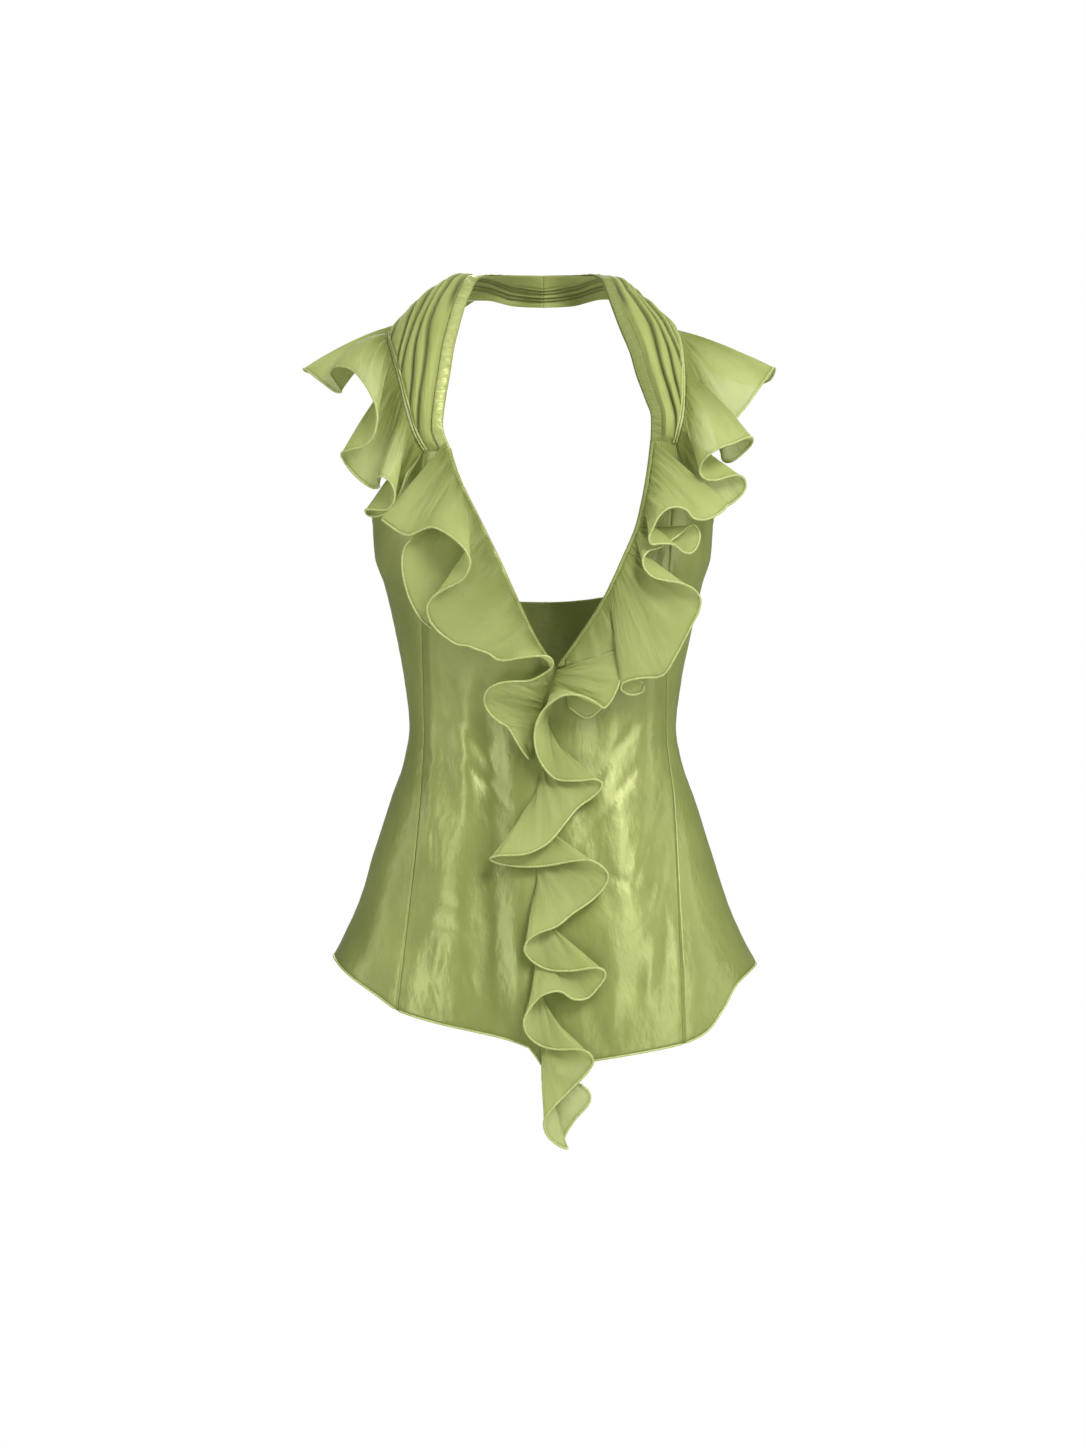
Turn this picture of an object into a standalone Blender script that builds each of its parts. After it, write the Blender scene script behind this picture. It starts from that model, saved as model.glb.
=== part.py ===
"""Sleeveless halter top with ruffles, in the form it has when worn, hollow inside.

All tables are in millimetres. X runs to the wearer's left, -Y to the front and +Z up. Inside the
tables z is counted from the nape of the neck, where the halter is held, and y from the plane of
the side seams. Right and left are the wearer's.
"""
import math
from typing import NamedTuple

import bmesh
import bpy
import numpy as np

MM = 0.001
WALL = 1.2  # cloth with its turnings, as a wall
SEAM_GAP = 0.6  # between the edges of two panels
LAY_GAP = 0.4  # between a panel and the band on it
NAPE_Y = 62.0  # how far the nape lies behind the side seams
BAND_WIDTH = 9.5
V_POINT_Z = -334.0  # bottom of the V neck
RUFFLE_ROOM = 60.0  # how much wider than the body the line is that the ruffles lie on
RUFFLE_INSET = 3.5  # ruffle seam, in from the neck edge
NECK_RUFFLE_OUT = 2.6  # a neck ruffle's seam, out from the body, on top of the band
FRONT_RUFFLE_OUT = 1.1  # the front ruffle's seam, out from the body
FRONT_TOP_EXTRA = 3.1  # and further out at its top, where it lies over the left neck ruffle's end
FRONT_TOP_SHARE = 0.15  # share of its seam over which that falls away
BODY_POWER = 2.3  # 2 is an ellipse, more is squarer
LAY_POWER = 2.5
BUST_X, BUST_Z = 72.0, -262.0
BUST_FULLNESS, BUST_SPREAD_X, BUST_SPREAD_Z = 5.0, 36.0, 44.0

ROWS_ABOVE_V = 8  # rows of faces in the five panels, above and below the point of the V
ROWS_BELOW_V = 14
FRONT_COLUMNS = 10
SIDE_COLUMNS = 7
BACK_COLUMNS = 18
BAND_COLUMNS = 2
HALTER_ROWS = 22
FACES_PER_PLEAT = 4
RUFFLE_ROWS = 4
RUFFLE_WALL = 1.0
STEPS_PER_FOLD_ROW = 2

SATIN = (0.40, 0.50, 0.14)
GEORGETTE = (0.43, 0.50, 0.19)
BINDING = (0.55, 0.62, 0.25)


class Girth(NamedTuple):
    """A level section of the body."""

    z: float
    half_width: float
    front: float
    back: float


BODY = (
    Girth(-680, 190, 124, 118),
    Girth(-620, 187, 122, 118),
    Girth(-585, 181, 119, 116),
    Girth(-565, 171, 117, 114),
    Girth(-531, 156, 112, 108),
    Girth(-488, 142, 104, 98),
    Girth(-446, 129, 96, 86),
    Girth(-412, 117.5, 90, 75),
    Girth(-385, 113, 89, 72),
    Girth(-345, 117.5, 98, 75),
    Girth(-300, 126, 112, 81),
    Girth(-262, 135, 119, 85),
    Girth(-240, 142, 115, 86),
    Girth(-205, 145, 108, 85),
    Girth(-140, 150, 106, 80),
)


class EdgeRow(NamedTuple):
    """Where an edge of the right and of the left panel lies, seen from the front."""

    z: float
    right: float
    left: float


NECK_EDGE = (
    EdgeRow(-334, 10.5, 10.5),
    EdgeRow(-312, -4, 27),
    EdgeRow(-279, -20, 48.5),
    EdgeRow(-246, -35, 64),
    EdgeRow(-213, -51, 77.5),
    EdgeRow(-171, -71, 86),
    EdgeRow(-138, -80, 90),
)
CENTRE_EDGE = (
    EdgeRow(-680, 0, 0),
    EdgeRow(-607, -4, -4),
    EdgeRow(-540, -5.5, -5.5),
    EdgeRow(-444, -4, -4),
    EdgeRow(-411, -2, -2),
    EdgeRow(-361, 5, 5),
    EdgeRow(-334, 10.5, 10.5),
)
PRINCESS_SEAM = (
    EdgeRow(-680, -128, 117),
    EdgeRow(-568, -115, 114),
    EdgeRow(-446, -103, 110),
    EdgeRow(-385, -100, 104),
    EdgeRow(-318, -101, 104),
    EdgeRow(-250, -100, 105),
    EdgeRow(-150, -98, 110),
)
FRONT_TOP_Z = EdgeRow(0, -153, -146)  # height of the seam between front panel and halter
UNDERARM_Z = -206
BACK_TOP_DIP = 70  # the back's upper edge at its middle, below the underarm
BACK_HEM_DIP = 42


class HemRow(NamedTuple):
    """A point of the front hem."""

    x: float
    z: float


FRONT_HEM = (
    HemRow(-182, -573),
    HemRow(-164, -589),
    HemRow(-140, -605),
    HemRow(-118, -619),
    HemRow(-98, -627),
    HemRow(-47, -641),
    HemRow(-9, -658),
    HemRow(11, -667),
    HemRow(43, -661),
    HemRow(96, -651),
    HemRow(121, -644),
    HemRow(137, -636),
    HemRow(150, -619),
    HemRow(162, -598),
    HemRow(182, -583),
)


class YokeRow(NamedTuple):
    """A section across a halter yoke, from its neck edge to its shoulder edge."""

    neck_x: float
    neck_y: float
    neck_z: float
    edge_x: float
    edge_y: float
    edge_z: float
    crown: float  # how far its middle stands out from the straight line


YOKE_RIGHT = (
    YokeRow(-83, -89, -133, -107, -87, -139, 2),
    YokeRow(-81, -81, -112, -114, -79, -116, 4),
    YokeRow(-77.5, -71, -90, -120, -62, -92, 6),
    YokeRow(-74.5, -56, -68, -127, -35, -68, 8),
    YokeRow(-70.5, -41, -49, -131, -5, -53, 11),
    YokeRow(-66, -25, -30, -122, 25, -41, 13),
    YokeRow(-61, -8, -15, -101, 45, -28, 14),
    YokeRow(-55.5, 15, -2, -80, 61, -16, 11),
    YokeRow(-43, 42, 4, -50, 74, -14, 6),
    YokeRow(-22, 58, 5.5, -25, 76, -19, 4),
    YokeRow(-0.3, 62, 6, -0.3, 68, -21, 2),
)
YOKE_LEFT = (
    YokeRow(89.5, -89, -128, 114, -87, -134, 2),
    YokeRow(85, -81, -112, 117, -79, -116, 4),
    YokeRow(78, -71, -92, 118, -62, -92, 6),
    YokeRow(72.5, -56, -71, 117, -35, -68, 8),
    YokeRow(65, -41, -51, 114, -5, -50, 11),
    YokeRow(58, -25, -30, 103, 25, -40, 11),
    YokeRow(53.5, -8, -15, 90, 45, -32, 10),
    YokeRow(49, 15, -2, 80, 61, -21, 9),
    YokeRow(40, 42, 4, 53, 74, -13, 6),
    YokeRow(22, 58, 5.5, 25, 76, -19, 4),
    YokeRow(0.3, 62, 6, 0.3, 68, -21, 2),
)
PLEAT_EDGES = (0.0, 0.24, 0.44, 0.62, 0.8, 1.0)  # shares of the yoke's width outside its band
PLEAT_DEPTH = 3.2
PLEAT_START = 0.12  # share of the yoke's length over which the pleats rise from its front seam
PLEAT_SLOPE = 0.30  # a pleat's depth is at most this share of its width


class Fold(NamedTuple):
    """A section of a ruffle: where its hem lies and where it leaves the seam.

    depth is the distance out from the body's front in a neck or front ruffle, and the hem's y in
    a shoulder ruffle. A row with a turn stands for the round end of a fold, of that radius: above
    zero the cloth before it lies in front of the cloth after it, and below zero behind it.
    """

    x: float
    z: float
    depth: float
    seam: float
    turn: float = 0.0
    lift: float = 0.0


NECK_RUFFLE_RIGHT = (
    Fold(-134, -211, 14, 0.0, 0, 1),
    Fold(-109, -227, 18, 0.06, 0, 2),
    Fold(-88, -222, 24, 0.11, 0, 4),
    Fold(-69, -232, 30, 0.155, 0, 4),
    Fold(-58, -251, 28, 0.20, 5, 3),
    Fold(-72, -269, 21, 0.25, 0, 3),
    Fold(-95, -285, 16, 0.31, 5, 2),
    Fold(-84, -308, 13, 0.40, 0, 4),
    Fold(-57, -319, 17, 0.50, 0, 5),
    Fold(-33, -329, 16, 0.60, 0, 5),
    Fold(-10, -327, 21, 0.68, 0, 3),
    Fold(8, -331, 17, 0.73, 4, 0),
    Fold(-11, -345, 11, 0.77, 0, 1),
    Fold(-32, -347, 13, 0.80, 0, 3),
    Fold(-49, -359, 11, 0.835, 4, 2),
    Fold(-38, -379, 8, 0.885, 0, 1),
    Fold(-24, -392, 7, 0.935),
    Fold(-17, -409, 5.5, 1.0),
)
NECK_RUFFLE_LEFT = (
    Fold(153, -200, 18, 0.0, 0, 6),
    Fold(137, -211, 24, 0.08, 0, 4),
    Fold(122, -212, 25, 0.145, 0, 3),
    Fold(107, -205, 23, 0.19, 0, 3),
    Fold(94, -216, 21, 0.25, 0, 3),
    Fold(84, -237, 17, 0.32, 0, 3),
    Fold(82, -251, 12, 0.37, 4, 2),
    Fold(103, -264, 9, 0.43, 0, 3),
    Fold(130, -278, 14, 0.48, 4, 4),
    Fold(122, -300, 14, 0.52, 0, 3),
    Fold(108, -329, 16, 0.56, 0, 3),
    Fold(98, -341, 16, 0.595, 2, 2),
    Fold(80, -344, 14, 0.63, 0, 2),
    Fold(66, -351, 13, 0.67, 4, 2),
    Fold(80, -356, 6, 0.71),
    Fold(68, -348, 4, 0.75),
    Fold(56, -360, 4, 0.80),
    Fold(37, -376, 4, 0.88),
    Fold(20, -366, 3.2, 0.97, 0, -1.5),
)
FRONT_RUFFLE = (
    Fold(62, -337, 9, 0.0, 0, 3),
    Fold(60, -356, 13, 0.015, 0, 2),
    Fold(50, -369, 17, 0.03, -3, 2),
    Fold(28, -357, 24, 0.045, 0, 4),
    Fold(8, -366, 23, 0.06, 0, 3),
    Fold(-7, -390, 15, 0.08, 5, 4),
    Fold(8, -424, 9, 0.11, 0, 1),
    Fold(28, -428, 12, 0.14, 0, 1),
    Fold(48, -430, 13, 0.17, 4, -1),
    Fold(28, -452, 11, 0.205, 0, -4),
    Fold(8, -476, 18, 0.245, 0, -3),
    Fold(-16, -487, 20, 0.275, 0, -2),
    Fold(-43, -491, 13, 0.31, 4, -2),
    Fold(-20, -498, 7, 0.34),
    Fold(10, -499, 10, 0.365, 0, 1),
    Fold(35, -496, 13, 0.39, 0, 1),
    Fold(53, -506, 12, 0.415, 4, -1),
    Fold(39, -526, 9, 0.445, 0, -3),
    Fold(19, -539, 13, 0.475, 0, -1),
    Fold(0, -551, 17, 0.505, 0, 2),
    Fold(-13, -566, 13, 0.54, 4, 3),
    Fold(6, -582, 10, 0.57, 0, 1),
    Fold(30, -581, 13, 0.60, 0, 2),
    Fold(50, -585, 12, 0.63, 4, 0),
    Fold(30, -606, 9, 0.66, 0, -5),
    Fold(6, -599, 16, 0.70, 0, -6),
    Fold(-16, -624, 13, 0.74, 5, 2),
    Fold(4, -645, 9, 0.78, 0, 2),
    Fold(26, -645, 12, 0.825, 0, 2),
    Fold(41, -653, 13, 0.87, 4, 0),
    Fold(26, -672, 11, 0.90, 0, 1),
    Fold(6, -692, 12, 0.93, 0, 3),
    Fold(3, -709, 9, 0.955, 0, 3),
    Fold(18, -727, 7, 0.98, 3, 1),
    Fold(36, -691, 4, 1.0),
)
SHOULDER_RUFFLE_LEFT = (
    Fold(124, -204, -84, 0.0),
    Fold(142, -193, -86, 0.012),
    Fold(160, -195, -79, 0.03),
    Fold(168, -180, -84, 0.06, -4),
    Fold(151, -178, -90, 0.11),
    Fold(132, -173, -97, 0.18, -4, 2),
    Fold(147, -156, -108, 0.25, 0, 4),
    Fold(172, -147, -91, 0.31, 4, 3),
    Fold(158, -160, -78, 0.345, 0, 1),
    Fold(143, -149, -70, 0.39, 4, 1),
    Fold(161, -128, -62, 0.43, 0, 2),
    Fold(174, -107, -49, 0.46, 0, 3),
    Fold(195, -79, -8, 0.51, 4, 3),
    Fold(185, -90, 22, 0.56, 0, 3),
    Fold(154, -81, 50, 0.64, 0, 3),
    Fold(122, -60, 66, 0.72, 0, 2),
    Fold(101, -42, 69, 0.78),
)
SHOULDER_RUFFLE_RIGHT = (
    Fold(-112, -170, -96, 0.0),
    Fold(-124, -205, -92, 0.02),
    Fold(-147, -207, -92, 0.055, -4),
    Fold(-130, -203, -104, 0.095, 0, 1),
    Fold(-123, -190, -108, 0.135, -4, 2),
    Fold(-137, -179, -104, 0.175, 4, 2),
    Fold(-149, -181, -84, 0.22, 0, 1),
    Fold(-167, -159, -80, 0.27, -4, 2),
    Fold(-148, -151, -99, 0.32, 0, 3),
    Fold(-137, -130, -104, 0.375, 0, 3),
    Fold(-143, -105, -92, 0.42, 0, 4),
    Fold(-156, -88, -77, 0.46, 0, 4),
    Fold(-178, -83, -52, 0.49, 4, 4),
    Fold(-171, -99, -36, 0.52, 4, 2),
    Fold(-187, -92, -21, 0.545, 0, 2),
    Fold(-203, -80, -2, 0.57, 3, 2),
    Fold(-185, -82, 26, 0.61, 0, 2),
    Fold(-159, -72, 50, 0.67, 0, 2),
    Fold(-125, -52, 67, 0.74, 0, 1),
    Fold(-101, -40, 70, 0.79),
)
FOLD_END_FLAT, FOLD_END_DEEP = 0.7, 0.8  # how a fold's end turns: across the front, and in depth
FOLD_END_SEAM = 0.15  # how far its two sides have moved along the seam towards the next rows
SHOULDER_SEAM_CLEAR = 1.0  # ruffle seam beside the yoke's shoulder edge
NECK_RUFFLE_TOP_Z = EdgeRow(0, -148, -147)
RIGHT_CASCADE_END = (-10.0, -411.0)  # x, z where the right neck ruffle ends below the V
FRONT_SEAM_START_Z = -341.0
FRONT_SEAM_END_Z = -661.0


def slopes(places, values):
    """Slopes of a smooth curve through values, with no swing past a row."""
    steps = np.diff(places)
    rises = np.diff(values, axis=0) / steps[:, None]
    product = rises[:-1] * rises[1:]
    total = np.where(product > 0, rises[:-1] + rises[1:], 1)
    inner = np.where(product > 0, 2 * product / total, 0)
    return np.vstack([rises[:1], inner, rises[-1:]])


def smooth_value(places, values, where):
    """The values of a table at one place, smoothly between its rows."""
    places = np.asarray(places, float)
    values = np.asarray(values, float).reshape(len(places), -1)
    tangents = slopes(places, values)
    where = min(max(where, places[0]), places[-1])
    row = min(int(np.searchsorted(places, where, side="right")) - 1, len(places) - 2)
    step = places[row + 1] - places[row]
    t = (where - places[row]) / step
    return (
        (1 + 2 * t) * (1 - t) ** 2 * values[row]
        + t * (1 - t) ** 2 * step * tangents[row]
        + t * t * (3 - 2 * t) * values[row + 1]
        + t * t * (t - 1) * step * tangents[row + 1]
    )


def table_reader(rows):
    """A function that gives a table's other columns at any value of its first."""
    numbers = np.array(rows, float)
    return lambda where: smooth_value(numbers[:, 0], numbers[:, 1:], where)


body_at = table_reader(BODY)
neck_edge_at = table_reader(NECK_EDGE)
centre_edge_at = table_reader(CENTRE_EDGE)
princess_at = table_reader(PRINCESS_SEAM)
front_hem_at = table_reader(FRONT_HEM)


def round_curve(points, steps):
    """Points of a centripetal Catmull-Rom curve, with steps between each two given points."""
    points = np.asarray(points, float)
    padded = np.vstack([2 * points[0] - points[1], points, 2 * points[-1] - points[-2]])
    knots = np.concatenate([[0], np.cumsum(np.linalg.norm(np.diff(padded, axis=0), axis=1) ** 0.5)])
    curve = []
    for row in range(1, len(padded) - 2):
        k0, k1, k2, k3 = knots[row - 1 : row + 3]
        p0, p1, p2, p3 = padded[row - 1 : row + 3]
        for step in range(steps):
            k = k1 + (k2 - k1) * step / steps
            a1 = (k1 - k) / (k1 - k0) * p0 + (k - k0) / (k1 - k0) * p1
            a2 = (k2 - k) / (k2 - k1) * p1 + (k - k1) / (k2 - k1) * p2
            a3 = (k3 - k) / (k3 - k2) * p2 + (k - k2) / (k3 - k2) * p3
            b1 = (k2 - k) / (k2 - k0) * a1 + (k - k0) / (k2 - k0) * a2
            b2 = (k3 - k) / (k3 - k1) * a2 + (k - k1) / (k3 - k1) * a3
            curve.append((k2 - k) / (k2 - k1) * b1 + (k - k1) / (k2 - k1) * b2)
    curve.append(points[-1])
    return np.array(curve)


def body_point(angle, z):
    """A point of the body's surface, angle degrees round from the front to the wearer's left."""
    half_width, front, back = body_at(z)
    turn = math.radians(angle)
    across, along = math.sin(turn), -math.cos(turn)
    depth = front if along < 0 else back
    x = half_width * math.copysign(abs(across) ** (2 / BODY_POWER), across)
    y = depth * math.copysign(abs(along) ** (2 / BODY_POWER), along)
    if along < 0:
        side = ((abs(x) - BUST_X) / BUST_SPREAD_X) ** 2
        height = ((z - BUST_Z) / BUST_SPREAD_Z) ** 2
        y -= BUST_FULLNESS * math.exp(-side - height) * min(1, -2 * along)
    return np.array([x, y, z])


def body_angle(x, z):
    """The angle of the front surface's point at x."""
    share = min(abs(x) / body_at(z)[0], 0.999)
    return math.copysign(math.degrees(math.asin(share ** (BODY_POWER / 2))), x)


def body_front(x, z):
    """The y of the body's front at x."""
    return body_point(body_angle(x, z), z)[1]


def ruffle_front(x, z):
    """The y of the flatter line that ruffles lie on, never behind the body."""
    half_width, front, _ = body_at(z)
    share = min(abs(x) / (half_width + RUFFLE_ROOM), 0.98)
    return min(-front * (1 - share**LAY_POWER) ** (1 / LAY_POWER), body_front(x, z))


def inner_edge(z, side):
    """The x of a front panel's edge: the V neck, and below it the centre front."""
    reader = neck_edge_at if z > V_POINT_Z else centre_edge_at
    return reader(z)[1 if side > 0 else 0] + side * SEAM_GAP / 2


def princess_x(z, side):
    """The x of the princess seam."""
    return princess_at(z)[1 if side > 0 else 0]


def hem_z(angle):
    """The height of the front and side panels' hem at an angle round the body."""
    z = FRONT_HEM[0].z
    for _ in range(4):
        z = front_hem_at(body_point(angle, z)[0])[0]
    return z


def back_hem_z(angle):
    """The height of the back hem, from one side seam (90 degrees) to the other (270)."""
    share = (angle - 90) / 180
    left, right = front_hem_at(182)[0], front_hem_at(-182)[0]
    return left + (right - left) * share - BACK_HEM_DIP * math.sin(math.pi * share) ** 2


def in_rows(top, bottom, v):
    """The height at share v down a panel, with one of its rows level with the point of the V."""
    above = ROWS_ABOVE_V / (ROWS_ABOVE_V + ROWS_BELOW_V)
    if v <= above:
        return top + (V_POINT_Z - top) * v / above
    return V_POINT_Z + (bottom - V_POINT_Z) * (v - above) / (1 - above)


def side_value(row, side):
    """A right or left value of an edge row."""
    return row.left if side > 0 else row.right


def across_with_band(share, band_share, width):
    """Where a column lies across a width, when the first columns just hold the band."""
    band = BAND_WIDTH / width
    if share <= band_share:
        return band * share / band_share
    return band + (1 - band) * (share - band_share) / (1 - band_share)


def front_panel_point(u, v, side):
    """A front panel's point, u from its centre edge to the princess seam, v from top to hem."""
    top = side_value(FRONT_TOP_Z, side)
    seam_angle = body_angle(princess_x(-600, side), -600)
    centre_angle = body_angle(inner_edge(-650, side), -650)
    z = in_rows(top, hem_z(centre_angle + (seam_angle - centre_angle) * u), v)
    inner, outer = inner_edge(z, side), princess_x(z, side) - side * SEAM_GAP / 2
    x = inner + (outer - inner) * across_with_band(u, BAND_COLUMNS / FRONT_COLUMNS, abs(outer - inner))
    return body_point(body_angle(x, z), z)


def side_seam_clearance(depth):
    """The angle from the side seam to a panel's edge beside it, where the body has this depth."""
    return math.degrees((SEAM_GAP / 2 / depth) ** (BODY_POWER / 2))


def side_panel_point(u, v, side):
    """A side panel's point, u from the princess seam to the side seam, v from armhole to hem."""
    seam_angle = abs(body_angle(princess_x(-600, side), -600))
    top = side_value(FRONT_TOP_Z, side)
    armhole = top + (UNDERARM_Z - top) * math.sin(u * math.pi / 2)
    z = in_rows(armhole, hem_z(side * (seam_angle + (90 - seam_angle) * u)), v)
    start = abs(body_angle(princess_x(z, side) + side * SEAM_GAP / 2, z))
    end = 90 - side_seam_clearance(body_at(z)[1])
    return body_point(side * (start + (end - start) * u), z)


def back_panel_point(u, v):
    """The back panel's point, u from the left side seam to the right one, v from top to hem."""
    top = UNDERARM_Z - BACK_TOP_DIP * math.sin(math.pi * u)
    z = in_rows(top, back_hem_z(90 + 180 * u), v)
    edge = side_seam_clearance(body_at(z)[2])
    angle = 90 + edge + (180 - 2 * edge) * u
    return body_point(angle, z)


def yoke_frame(v, side):
    """A yoke's section at share v from the front seam to the nape: neck edge, shoulder edge, crown."""
    table = np.array(YOKE_LEFT if side > 0 else YOKE_RIGHT, float)
    base_z = side_value(FRONT_TOP_Z, side)
    inner = inner_edge(base_z, side)
    outer = princess_x(base_z, side) - side * SEAM_GAP / 2
    ends = [body_point(body_angle(x, base_z), base_z) + (0, 0, SEAM_GAP) for x in (inner, outer)]
    table = np.vstack([np.concatenate([*ends, [0]]), table])
    row = smooth_value(range(len(table)), table, v * (len(table) - 1))
    return row[:3], row[3:6], row[6]


def yoke_columns():
    """How many faces lie across a yoke: its band and its pleats."""
    return BAND_COLUMNS + FACES_PER_PLEAT * (len(PLEAT_EDGES) - 1)


def pleat_height(share, width):
    """How far a pleat stands up at a share of the pleated width."""
    for start, end in zip(PLEAT_EDGES, PLEAT_EDGES[1:]):
        if share <= end:
            depth = min(PLEAT_DEPTH, PLEAT_SLOPE * (end - start) * width)
            return depth * math.sin(math.pi * (share - start) / (end - start)) ** 0.8
    return 0.0


def yoke_middle(v, side):
    """The middle of a yoke's section; past the nape it goes on as its mirror image."""
    neck, edge, _ = yoke_frame(min(v, 2 - v), side)
    middle = (neck + edge) / 2
    return middle * (-1, 1, 1) if v > 1 else middle


def yoke_point(share, v, side):
    """A yoke's point, share from its neck edge to its shoulder edge, v from front to nape."""
    neck, edge, crown = yoke_frame(v, side)
    along = yoke_middle(v + 0.02, side) - yoke_middle(max(v - 0.02, 0), side)
    outward = np.cross(along, edge - neck) * (-side)
    outward /= np.linalg.norm(outward)
    width = np.linalg.norm(edge - neck)
    u = across_with_band(share, BAND_COLUMNS / yoke_columns(), width)
    band = BAND_WIDTH / width
    height = crown * 4 * u * (1 - u)
    if u > band:
        height += pleat_height((u - band) / (1 - band), width - BAND_WIDTH) * min(1, v / PLEAT_START)
    return neck + (edge - neck) * u + outward * height


def make_grid(columns, rows, point):
    """A sheet of faces shaped by point(u, v)."""
    sheet = bmesh.new()
    bmesh.ops.create_grid(sheet, x_segments=columns, y_segments=rows, size=0.5)
    for vertex in sheet.verts:
        u, v = vertex.co.x + 0.5, vertex.co.y + 0.5
        vertex.co = point(min(max(u, 0), 1), min(max(v, 0), 1)) * MM
    sheet.normal_update()
    return sheet


def make_piece(name, sheet, material, grow=-1.0, flip=False, thickness=WALL):
    """An object with a sheet's form and a wall's thickness; grow -1 thickens it inwards."""
    if flip:
        bmesh.ops.reverse_faces(sheet, faces=sheet.faces)
    mesh = bpy.data.meshes.new(name)
    sheet.to_mesh(mesh)
    sheet.free()
    mesh.shade_smooth()
    mesh.materials.append(material)
    piece = bpy.data.objects.new(name, mesh)
    wall = piece.modifiers.new("wall", "SOLIDIFY")
    wall.thickness = thickness * MM
    wall.offset = grow
    return piece


def make_material(name, colour, roughness, sheen):
    """A cloth material."""
    material = bpy.data.materials.new(name)
    material.use_nodes = True
    shader = material.node_tree.nodes["Principled BSDF"]
    shader.inputs["Base Color"].default_value = (*colour, 1)
    shader.inputs["Roughness"].default_value = roughness
    shader.inputs["Metallic"].default_value = 0.0
    shader.inputs["Sheen Weight"].default_value = sheen
    return material


def side_name(name, side):
    """A piece's name with the wearer's side."""
    return f"{name}_{'left' if side > 0 else 'right'}"


def make_panels(satin):
    """The five satin panels."""
    pieces = []
    rows = ROWS_ABOVE_V + ROWS_BELOW_V
    for side in (-1, 1):
        for name, columns, point in (
            ("front_panel", FRONT_COLUMNS, front_panel_point),
            ("side_panel", SIDE_COLUMNS, side_panel_point),
        ):
            sheet = make_grid(columns, rows, lambda u, v, s=side, p=point: p(u, v, s))
            pieces.append(make_piece(side_name(name, side), sheet, satin, flip=side > 0))
    sheet = make_grid(BACK_COLUMNS, rows, back_panel_point)
    pieces.append(make_piece("back_panel", sheet, satin, flip=True))
    return pieces


def make_yoke(side, georgette):
    """A pleated halter yoke."""
    sheet = make_grid(yoke_columns(), HALTER_ROWS, lambda u, v: yoke_point(u, v, side))
    return make_piece(side_name("halter", side), sheet, georgette, flip=side < 0)


def band_path_point(place, column, side):
    """A band's point before it is moved out: first up the V neck, then along the yoke."""
    if place <= ROWS_ABOVE_V:
        u = column / FRONT_COLUMNS
        v = (ROWS_ABOVE_V - place) / (ROWS_ABOVE_V + ROWS_BELOW_V)
        return front_panel_point(u, v, side)
    return yoke_point(column / yoke_columns(), (place - ROWS_ABOVE_V) / HALTER_ROWS, side)


def band_point(place, column, side):
    """A band's outer point, moved out from the panel or the yoke that it lies on."""
    rows = ROWS_ABOVE_V + HALTER_ROWS
    here = band_path_point(place, column, side)
    ahead = band_path_point(min(place + 1, rows), column, side)
    if place == rows:
        ahead = band_path_point(rows - 1, column, side) * (-1, 1, 1)
    behind = band_path_point(max(place - 1, 0), column, side)
    across = band_path_point(place, BAND_COLUMNS, side) - band_path_point(place, 0, side)
    outward = np.cross(ahead - behind, across) * (-side)
    return here + outward / np.linalg.norm(outward) * (WALL + LAY_GAP)


def make_band(side, binding):
    """The satin band on the neck edge of a front panel and its yoke."""
    rows = ROWS_ABOVE_V + HALTER_ROWS

    def point(u, v):
        return band_point(round(v * rows), round(u * BAND_COLUMNS), side)

    sheet = make_grid(BAND_COLUMNS, rows, point)
    return make_piece(side_name("neck_band", side), sheet, binding, flip=side < 0)


def fold_points(folds, outward):
    """A ruffle's rows as x, z, depth, seam and lift, with three points round each fold's end."""
    rows = []
    for number, fold in enumerate(folds):
        if not fold.turn:
            rows.append((fold.x, fold.z, fold.depth, fold.seam, fold.lift))
            continue
        place = np.array([fold.x, fold.z])
        before, after = (np.array(other[:2]) for other in folds[number - 1 : number + 2 : 2])
        back = (before + after) / 2 - place
        back /= np.linalg.norm(back)
        aside = np.array([-back[1], back[0]])
        aside *= math.copysign(1, aside.dot(before - after))
        radius = abs(fold.turn)
        for sign, neighbour in ((1, folds[number - 1]), (0, fold), (-1, folds[number + 1])):
            spot = place + radius * (abs(sign) * back + sign * FOLD_END_FLAT * aside)
            depth = fold.depth + sign * outward * fold.turn * FOLD_END_DEEP
            seam = fold.seam + FOLD_END_SEAM * (neighbour.seam - fold.seam)
            rows.append((*spot, depth, seam, fold.lift))
    return np.array(rows)


class RuffleLines(NamedTuple):
    """A ruffle's hem as a fine curve, with where each of its points leaves the seam."""

    hem: np.ndarray
    seam: np.ndarray
    lift: np.ndarray


def ruffle_lines(folds, steps, outward):
    """The fine curves of a ruffle; outward is the sign of a depth further to the front."""
    rows = fold_points(folds, outward)
    hem = round_curve(rows[:, :3], steps)
    places = range(len(rows))
    spots = np.linspace(0, len(rows) - 1, len(hem))
    seam, lift = (
        np.array([smooth_value(places, rows[:, column], spot)[0] for spot in spots]) for column in (3, 4)
    )
    return RuffleLines(hem, seam, lift)


def bend(start, middle, end, v):
    """A point of a curve from start to end that is drawn towards its middle."""
    return start * (1 - v) ** 2 + middle * 2 * v * (1 - v) + end * v * v


def front_ruffle_point(lines, seam_at, number, v):
    """A point of a ruffle that lies on the body's front; v runs from its seam to its hem."""
    x, z, out = lines.hem[number]
    start = np.array(seam_at(lines.seam[number]))
    end = np.array([x, z, out])
    middle = (start + end) / 2 + (0, 0, lines.lift[number])
    x, z, out = bend(start, middle, end, v)
    blend = v * v * (3 - 2 * v)
    y = body_front(x, z) * (1 - blend) + ruffle_front(x, z) * blend
    return np.array([x, y - out, z])


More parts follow.
